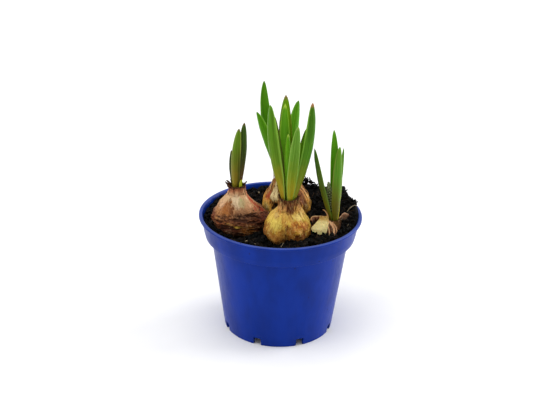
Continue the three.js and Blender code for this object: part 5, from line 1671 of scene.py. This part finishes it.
def dry_skin_material(tone):
    def build(nodes):
        place = nodes.place()
        wander = nodes.about(nodes.noise(place, 1.6, 4.0), 0.5, 0.3)
        colour = nodes.ramp(nodes.math("ADD", nodes.stored("down"), wander), DRY_COLOURS[tone])
        fibres = nodes.group(fibre_group(), Width=0.45, Length=3.0)
        colour = nodes.lay_over(colour, paint(150, 100, 66), fibres["Dark"], 0.4, "MULTIPLY")
        colour = nodes.lay_over(colour, paint(236, 222, 184), fibres["Light"], 0.25)
        spots = nodes.group(speckle_group(), Spacing=(0.7, 0.7, 0.7), Share=0.25)["Mask"]
        upper = nodes.spread(nodes.stored("down"), 0.5, 0.3, 0.1, 0.8)
        colour = nodes.lay_over(colour, paint(110, 64, 40), spots, upper)
        soil = nodes.group(dust_group(), Level=SOIL_LEVEL + 0.6, Reach=1.2)["Mask"]
        colour = nodes.mix(soil, colour, paint(34, 26, 18))
        rough = nodes.spread(nodes.noise(place, 1.0, 3.0), 0.3, 0.7, 0.5, 0.75)
        normal = nodes.bump(fibres["Height"], 0.1, 0.7)
        normal = nodes.bump(nodes.noise(place, 0.6, 4.0), 0.2, 0.5, normal)
        return {"Base Color": colour, "Roughness": rough, "Normal": normal}

    return material(
        f"Dry skin {tone}", build, Specular_IOR_Level=0.12, Subsurface_Weight=0.1, Subsurface_Scale=0.5 * MM
    )


# ---------------- litter on the compost

# Pale strands, as places on the compost with a height above it, and their radius.
STRANDS = [
    ([(36.2, 1.6, 0.4), (37.2, 0.6, 2.2), (38.8, 0.4, 2.3), (40.6, 0.8, 1.8), (42.4, 1.5, 1.5)], 0.27),
    ([(-2.6, -30.4, 0.9), (-1.2, -29.6, 1.2), (0.6, -28.6, 1.1), (1.8, -27, 0.9)], 0.2),
    ([(-14, -31, 0.8), (-12, -31.8, 1), (-10.2, -31.4, 0.9)], 0.14),
]
# Grains of perlite and grit: [x, y, size].
GRAINS = [[-12.6, 32.4, 0.8], [-18, -28.6, 0.75], [37, -9.6, 0.6], [33.6, -9.4, 0.5], [-31, 14, 0.6]]
STRAND_STEPS = 18
# The middle line of the curl of skin that stands behind the small bulb's flake.
CURL = [(25.6, -16.6, 72), (25.2, -16, 74.2), (24, -15.2, 76), (22.6, -14.6, 76.8)]
CURL_WIDTH = 0.75
CURL_STEPS = 20


def make_litter():
    """Pale strands and grains that lie on the compost."""
    roll = np.random.default_rng(5)
    parts = []
    for places, radius in STRANDS:
        path = smooth_curve([(x, y, soil_height(x, y) + above) for x, y, above in places], STRAND_STEPS)
        parts.append(strand(path, radius * np.linspace(1, 0.6, STRAND_STEPS)))
    for x, y, size in GRAINS:
        points, faces = lump_shape(2, roll)
        parts.append((turned(points, roll) * size + (x, y, float(soil_height(x, y)) + 0.6), faces))
    points, faces = joined(parts)
    litter = mesh_object("compost_litter", points, faces, litter_material())
    dress(litter, "skin_cream")


def make_curl():
    """The curl of skin that stands up from the small bulb."""
    width = CURL_WIDTH * (1 - 0.6 * np.linspace(0, 1, CURL_STEPS))
    path = smooth_curve(CURL, CURL_STEPS)
    points, faces = ribbon(path, (0.3, -1, 0.3), width, cup=0.8, thickness=0.2, columns=7)
    strip = mesh_object("skin_curl", points, faces, dry_skin_material("tan"))
    keep(strip, "down", np.full(len(points), 0.3))
    keep(strip, "growth", points * (2, 2, 1))
    dress(strip, "skin_brown")


def litter_material():
    def build(nodes):
        place = nodes.place()
        colour = nodes.ramp(nodes.noise(place, 0.8, 4.0), [(0.3, (96, 82, 60)), (0.65, (176, 158, 126))])
        normal = nodes.bump(nodes.noise(place, 0.4, 4.0), 0.15, 0.8)
        rough = nodes.spread(nodes.noise(place, 0.7, 2.0), 0.3, 0.7, 0.6, 0.85)
        return {"Base Color": colour, "Roughness": rough, "Normal": normal}

    return material("Pale litter", build)


# ---------------- stage

FRAME_PIXELS = 545  # width of the picture
FOCAL_PIXELS = 1200
SENSOR = 36.0
# Place and size of each soft light, and what they all look at, in metres.
TOP_LIGHT = ((-0.25, -0.1, 1.3), 1.2)
LEFT_LIGHT = ((-2.4, -0.5, 1), 1.6)
RIGHT_LIGHT = ((2.3, 0.7, 0.6), 1.6)
LIGHT_AIM = (0, 0, 0.07)
RIGHT_TO_LEFT = 3  # how much stronger the right side light is than the left one


def make_camera(looks):
    """A camera that looks down at the pot, with a slight roll."""
    elevation, roll = looks.elevation, looks.roll
    back = Vector((0, -cos(elevation), sin(elevation)))
    right = Vector((1, 0, 0))
    up = back.cross(right)
    rolled_right = right * cos(roll) + up * sin(roll)
    rolled_up = up * cos(roll) - right * sin(roll)
    place = Vector(looks.aim) * MM + back * looks.distance
    turn = Matrix((rolled_right, rolled_up, back)).transposed().to_4x4()
    lens = bpy.data.cameras.new("camera")
    lens.sensor_width = SENSOR
    lens.lens = SENSOR * FOCAL_PIXELS / FRAME_PIXELS
    camera = bpy.data.objects.new("camera", lens)
    camera.matrix_world = Matrix.Translation(place) @ turn
    bpy.context.scene.collection.objects.link(camera)
    bpy.context.scene.camera = camera


def make_light(name, place, size, power):
    """A square soft light in metres that looks at the plants."""
    data = bpy.data.lights.new(name, "AREA")
    data.shape = "SQUARE"
    data.size = size
    data.energy = power
    light = bpy.data.objects.new(name, data)
    aim = Vector(LIGHT_AIM) - Vector(place)
    light.matrix_world = Matrix.Translation(place) @ aim.to_track_quat("-Z", "Y").to_matrix().to_4x4()
    bpy.context.scene.collection.objects.link(light)


def make_world(looks):
    """A plain pale sky."""
    world = bpy.data.worlds.new("studio")
    world.use_nodes = True
    background = world.node_tree.nodes["Background"]
    background.inputs["Color"].default_value = (1, 1, 1, 1)
    background.inputs["Strength"].default_value = looks.sky_light
    bpy.context.scene.world = world


def make_floor(looks):
    def build(nodes):
        cloud = nodes.noise(nodes.place(), 40.0, 2.0)
        pale = shaded(looks.floor_colour, 0.97)
        colour = nodes.mix(nodes.spread(cloud, 0.3, 0.7), pale, (*looks.floor_colour, 1.0))
        return {"Base Color": colour}

    half = looks.floor_size / 2 / MM
    points = [(-half, -half, 0), (half, -half, 0), (half, half, 0), (-half, half, 0)]
    floor = mesh_object("floor", points, [(0, 1, 2, 3)], material("Pale floor", build, Roughness=0.9))


# ---------------- settings

def whole_number(name, default, description):
    return IntProperty(name=name, default=default, min=1, description=description)


def factor(name, default, description):
    return FloatProperty(name=name, default=default, min=0, subtype="FACTOR", description=description)


def swatch(name, default, description):
    return FloatVectorProperty(
        name=name, default=default[:3], subtype="COLOR", size=3, min=0, max=1, description=description
    )


class PotLooks(bpy.types.PropertyGroup):
    colour: swatch("Plastic", paint(2, 44, 140), "Colour of the pot's plastic")
    roughness: factor("Roughness", 0.3, "How matt the plastic is")
    shine: factor("Shine", 0.1, "How strongly the plastic mirrors the room")
    sides: whole_number("Sides", 224, "Facets round the pot")


class CompostLooks(bpy.types.PropertyGroup):
    rings: whole_number("Rings", 120, "Rows of faces from the wall to the middle")
    sides: whole_number("Sides", 380, "Faces round the compost")
    roughness: factor("Unevenness", 0.8, "How crumbly the bed is")
    crumbs: whole_number("Crumbs", 2300, "Loose crumbs on the bed")
    fibres: whole_number("Fibres", 260, "Brown fibres among the crumbs")
    seed: whole_number("Seed", 7, "Another number scatters the crumbs in another way")


class BulbLooks(bpy.types.PropertyGroup):
    rows: whole_number("Rows", 180, "Rows of faces from base to neck")
    columns: whole_number("Columns", 270, "Faces round a bulb")
    relief: factor("Relief", 1.0, "Height of the skin's fibres, lumps and wrinkles")
    fibres: factor("Fibres", 1.0, "How strong the fibres and streaks on the skin are")
    soil_reach: FloatProperty(name="Soil", default=2.2, description="How high compost clings, in millimetres")


class LeafLooks(bpy.types.PropertyGroup):
    stations: whole_number("Stations", 64, "Rows of faces along a blade")
    around: whole_number("Around", 28, "Faces round a blade")
    waver: factor("Waver", 1.0, "How much the edges of the blades waver")
    roughness: factor("Roughness", 0.36, "How matt the leaves are")
    # The inner shade darkens a blade's inner face: painted shade.
    inner_shade: factor("Inner shade", 0.1, "How much deeper the green is on a blade's inner face")


class BudLooks(bpy.types.PropertyGroup):
    florets: whole_number("Florets", 84, "Closed florets on the spike")
    seed: whole_number("Seed", 3, "Another number gives the florets other sizes")


class StageLooks(bpy.types.PropertyGroup):
    distance: FloatProperty(name="Distance", default=0.659, unit="LENGTH", description="Camera to its aim")
    elevation: FloatProperty(
        name="Elevation", default=radians(24.1), subtype="ANGLE", description="How far the camera looks down"
    )
    roll: FloatProperty(name="Roll", default=radians(1.19), subtype="ANGLE", description="Camera's roll")
    aim: FloatVectorProperty(
        name="Aim", default=(-4.57, 0, 75.17), description="What the camera looks at, in millimetres"
    )
    floor_size: FloatProperty(name="Floor", default=6.0, unit="LENGTH", description="Side of the floor")
    floor_colour: swatch("Floor", (0.93, 0.93, 0.93), "Colour of the floor")
    sky_light: factor("Sky", 0.75, "Light of the plain sky")
    top_power: FloatProperty(name="Top", default=7.0, unit="POWER", description="Soft light from above")
    side_power: FloatProperty(
        name="Sides", default=20.0, unit="POWER", description="Soft light from the left, the weaker side"
    )


SETTINGS = {
    "hyacinth_pot": PotLooks,
    "hyacinth_compost": CompostLooks,
    "hyacinth_bulbs": BulbLooks,
    "hyacinth_leaves": LeafLooks,
    "hyacinth_bud": BudLooks,
    "hyacinth_stage": StageLooks,
}


# ---------------- operators

class HYACINTH_OT_stage(bpy.types.Operator):
    """Set up the pale floor, the soft lights and the camera"""

    bl_idname = "hyacinth.stage"
    bl_label = "Stage"

    def execute(self, context):
        looks = context.scene.hyacinth_stage
        make_camera(looks)
        make_world(looks)
        make_light("light_top", *TOP_LIGHT, looks.top_power)
        make_light("light_left", *LEFT_LIGHT, looks.side_power)
        make_light("light_right", *RIGHT_LIGHT, RIGHT_TO_LEFT * looks.side_power)
        make_floor(looks)
        context.scene.view_settings.view_transform = "Standard"
        return {"FINISHED"}


class HYACINTH_OT_pot(bpy.types.Operator):
    """Turn the pot with its collar, its lip and its drain slots"""

    bl_idname = "hyacinth.pot"
    bl_label = "Pot"

    def execute(self, context):
        make_pot(context.scene.hyacinth_pot)
        return {"FINISHED"}


class HYACINTH_OT_compost(bpy.types.Operator):
    """Fill the pot with compost, heaped at the right and the back"""

    bl_idname = "hyacinth.compost"
    bl_label = "Compost"

    def execute(self, context):
        make_compost(context.scene.hyacinth_compost)
        make_crumbs(context.scene.hyacinth_compost)
        return {"FINISHED"}


class HYACINTH_OT_bulbs(bpy.types.Operator):
    """Grow the four bulbs in their papery coats"""

    bl_idname = "hyacinth.bulbs"
    bl_label = "Bulbs"

    def execute(self, context):
        for seed, name in enumerate(BULBS):
            make_bulb(name, context.scene.hyacinth_bulbs, np.random.default_rng(seed))
        return {"FINISHED"}


class HYACINTH_OT_leaves(bpy.types.Operator):
    """Grow the strap leaves out of the bulbs' necks"""

    bl_idname = "hyacinth.leaves"
    bl_label = "Leaves"

    def execute(self, context):
        names = [(bulb, leaf) for bulb, leaves in LEAVES.items() for leaf in leaves]
        for seed, (bulb, leaf) in enumerate(names):
            make_leaf(bulb, leaf, context.scene.hyacinth_leaves, seed)
        return {"FINISHED"}


class HYACINTH_OT_bud(bpy.types.Operator):
    """Grow the young flower spike between the small bulb's leaves"""

    bl_idname = "hyacinth.bud"
    bl_label = "Flower bud"

    def execute(self, context):
        make_bud(context.scene.hyacinth_bud)
        return {"FINISHED"}


class HYACINTH_OT_skins(bpy.types.Operator):
    """Peel the dry skins off the small bulb"""

    bl_idname = "hyacinth.skins"
    bl_label = "Dry skins"

    def execute(self, context):
        make_skins()
        return {"FINISHED"}


class HYACINTH_OT_litter(bpy.types.Operator):
    """Strew pale strands and grains on the compost, and stand up the curl of skin"""

    bl_idname = "hyacinth.litter"
    bl_label = "Litter"

    def execute(self, context):
        make_litter()
        make_curl()
        return {"FINISHED"}


OPERATORS = [
    HYACINTH_OT_stage,
    HYACINTH_OT_pot,
    HYACINTH_OT_compost,
    HYACINTH_OT_bulbs,
    HYACINTH_OT_leaves,
    HYACINTH_OT_bud,
    HYACINTH_OT_skins,
    HYACINTH_OT_litter,
]


class HYACINTH_PT_panel(bpy.types.Panel):
    """Lists the settings and the pieces"""

    bl_idname = "HYACINTH_PT_panel"
    bl_label = "Potted Grape Hyacinth"
    bl_space_type = "VIEW_3D"
    bl_region_type = "UI"
    bl_category = "Hyacinth"

    def draw(self, context):
        for operator in OPERATORS:
            self.layout.operator(operator.bl_idname)
        for name, group in SETTINGS.items():
            box = self.layout.box()
            for setting in group.__annotations__:
                box.prop(getattr(context.scene, name), setting)


def register():
    for cls in (*SETTINGS.values(), *OPERATORS, HYACINTH_PT_panel):
        bpy.utils.register_class(cls)
    for name, group in SETTINGS.items():
        setattr(bpy.types.Scene, name, PointerProperty(type=group))


def unregister():
    for name in SETTINGS:
        delattr(bpy.types.Scene, name)
    for cls in reversed((*SETTINGS.values(), *OPERATORS, HYACINTH_PT_panel)):
        bpy.utils.unregister_class(cls)


def main():
    register()
    bpy.ops.hyacinth.stage()
    bpy.ops.hyacinth.pot()
    bpy.ops.hyacinth.compost()
    bpy.ops.hyacinth.bulbs()
    bpy.ops.hyacinth.leaves()
    bpy.ops.hyacinth.bud()
    bpy.ops.hyacinth.skins()
    bpy.ops.hyacinth.litter()


if __name__ == "__main__":
    main()
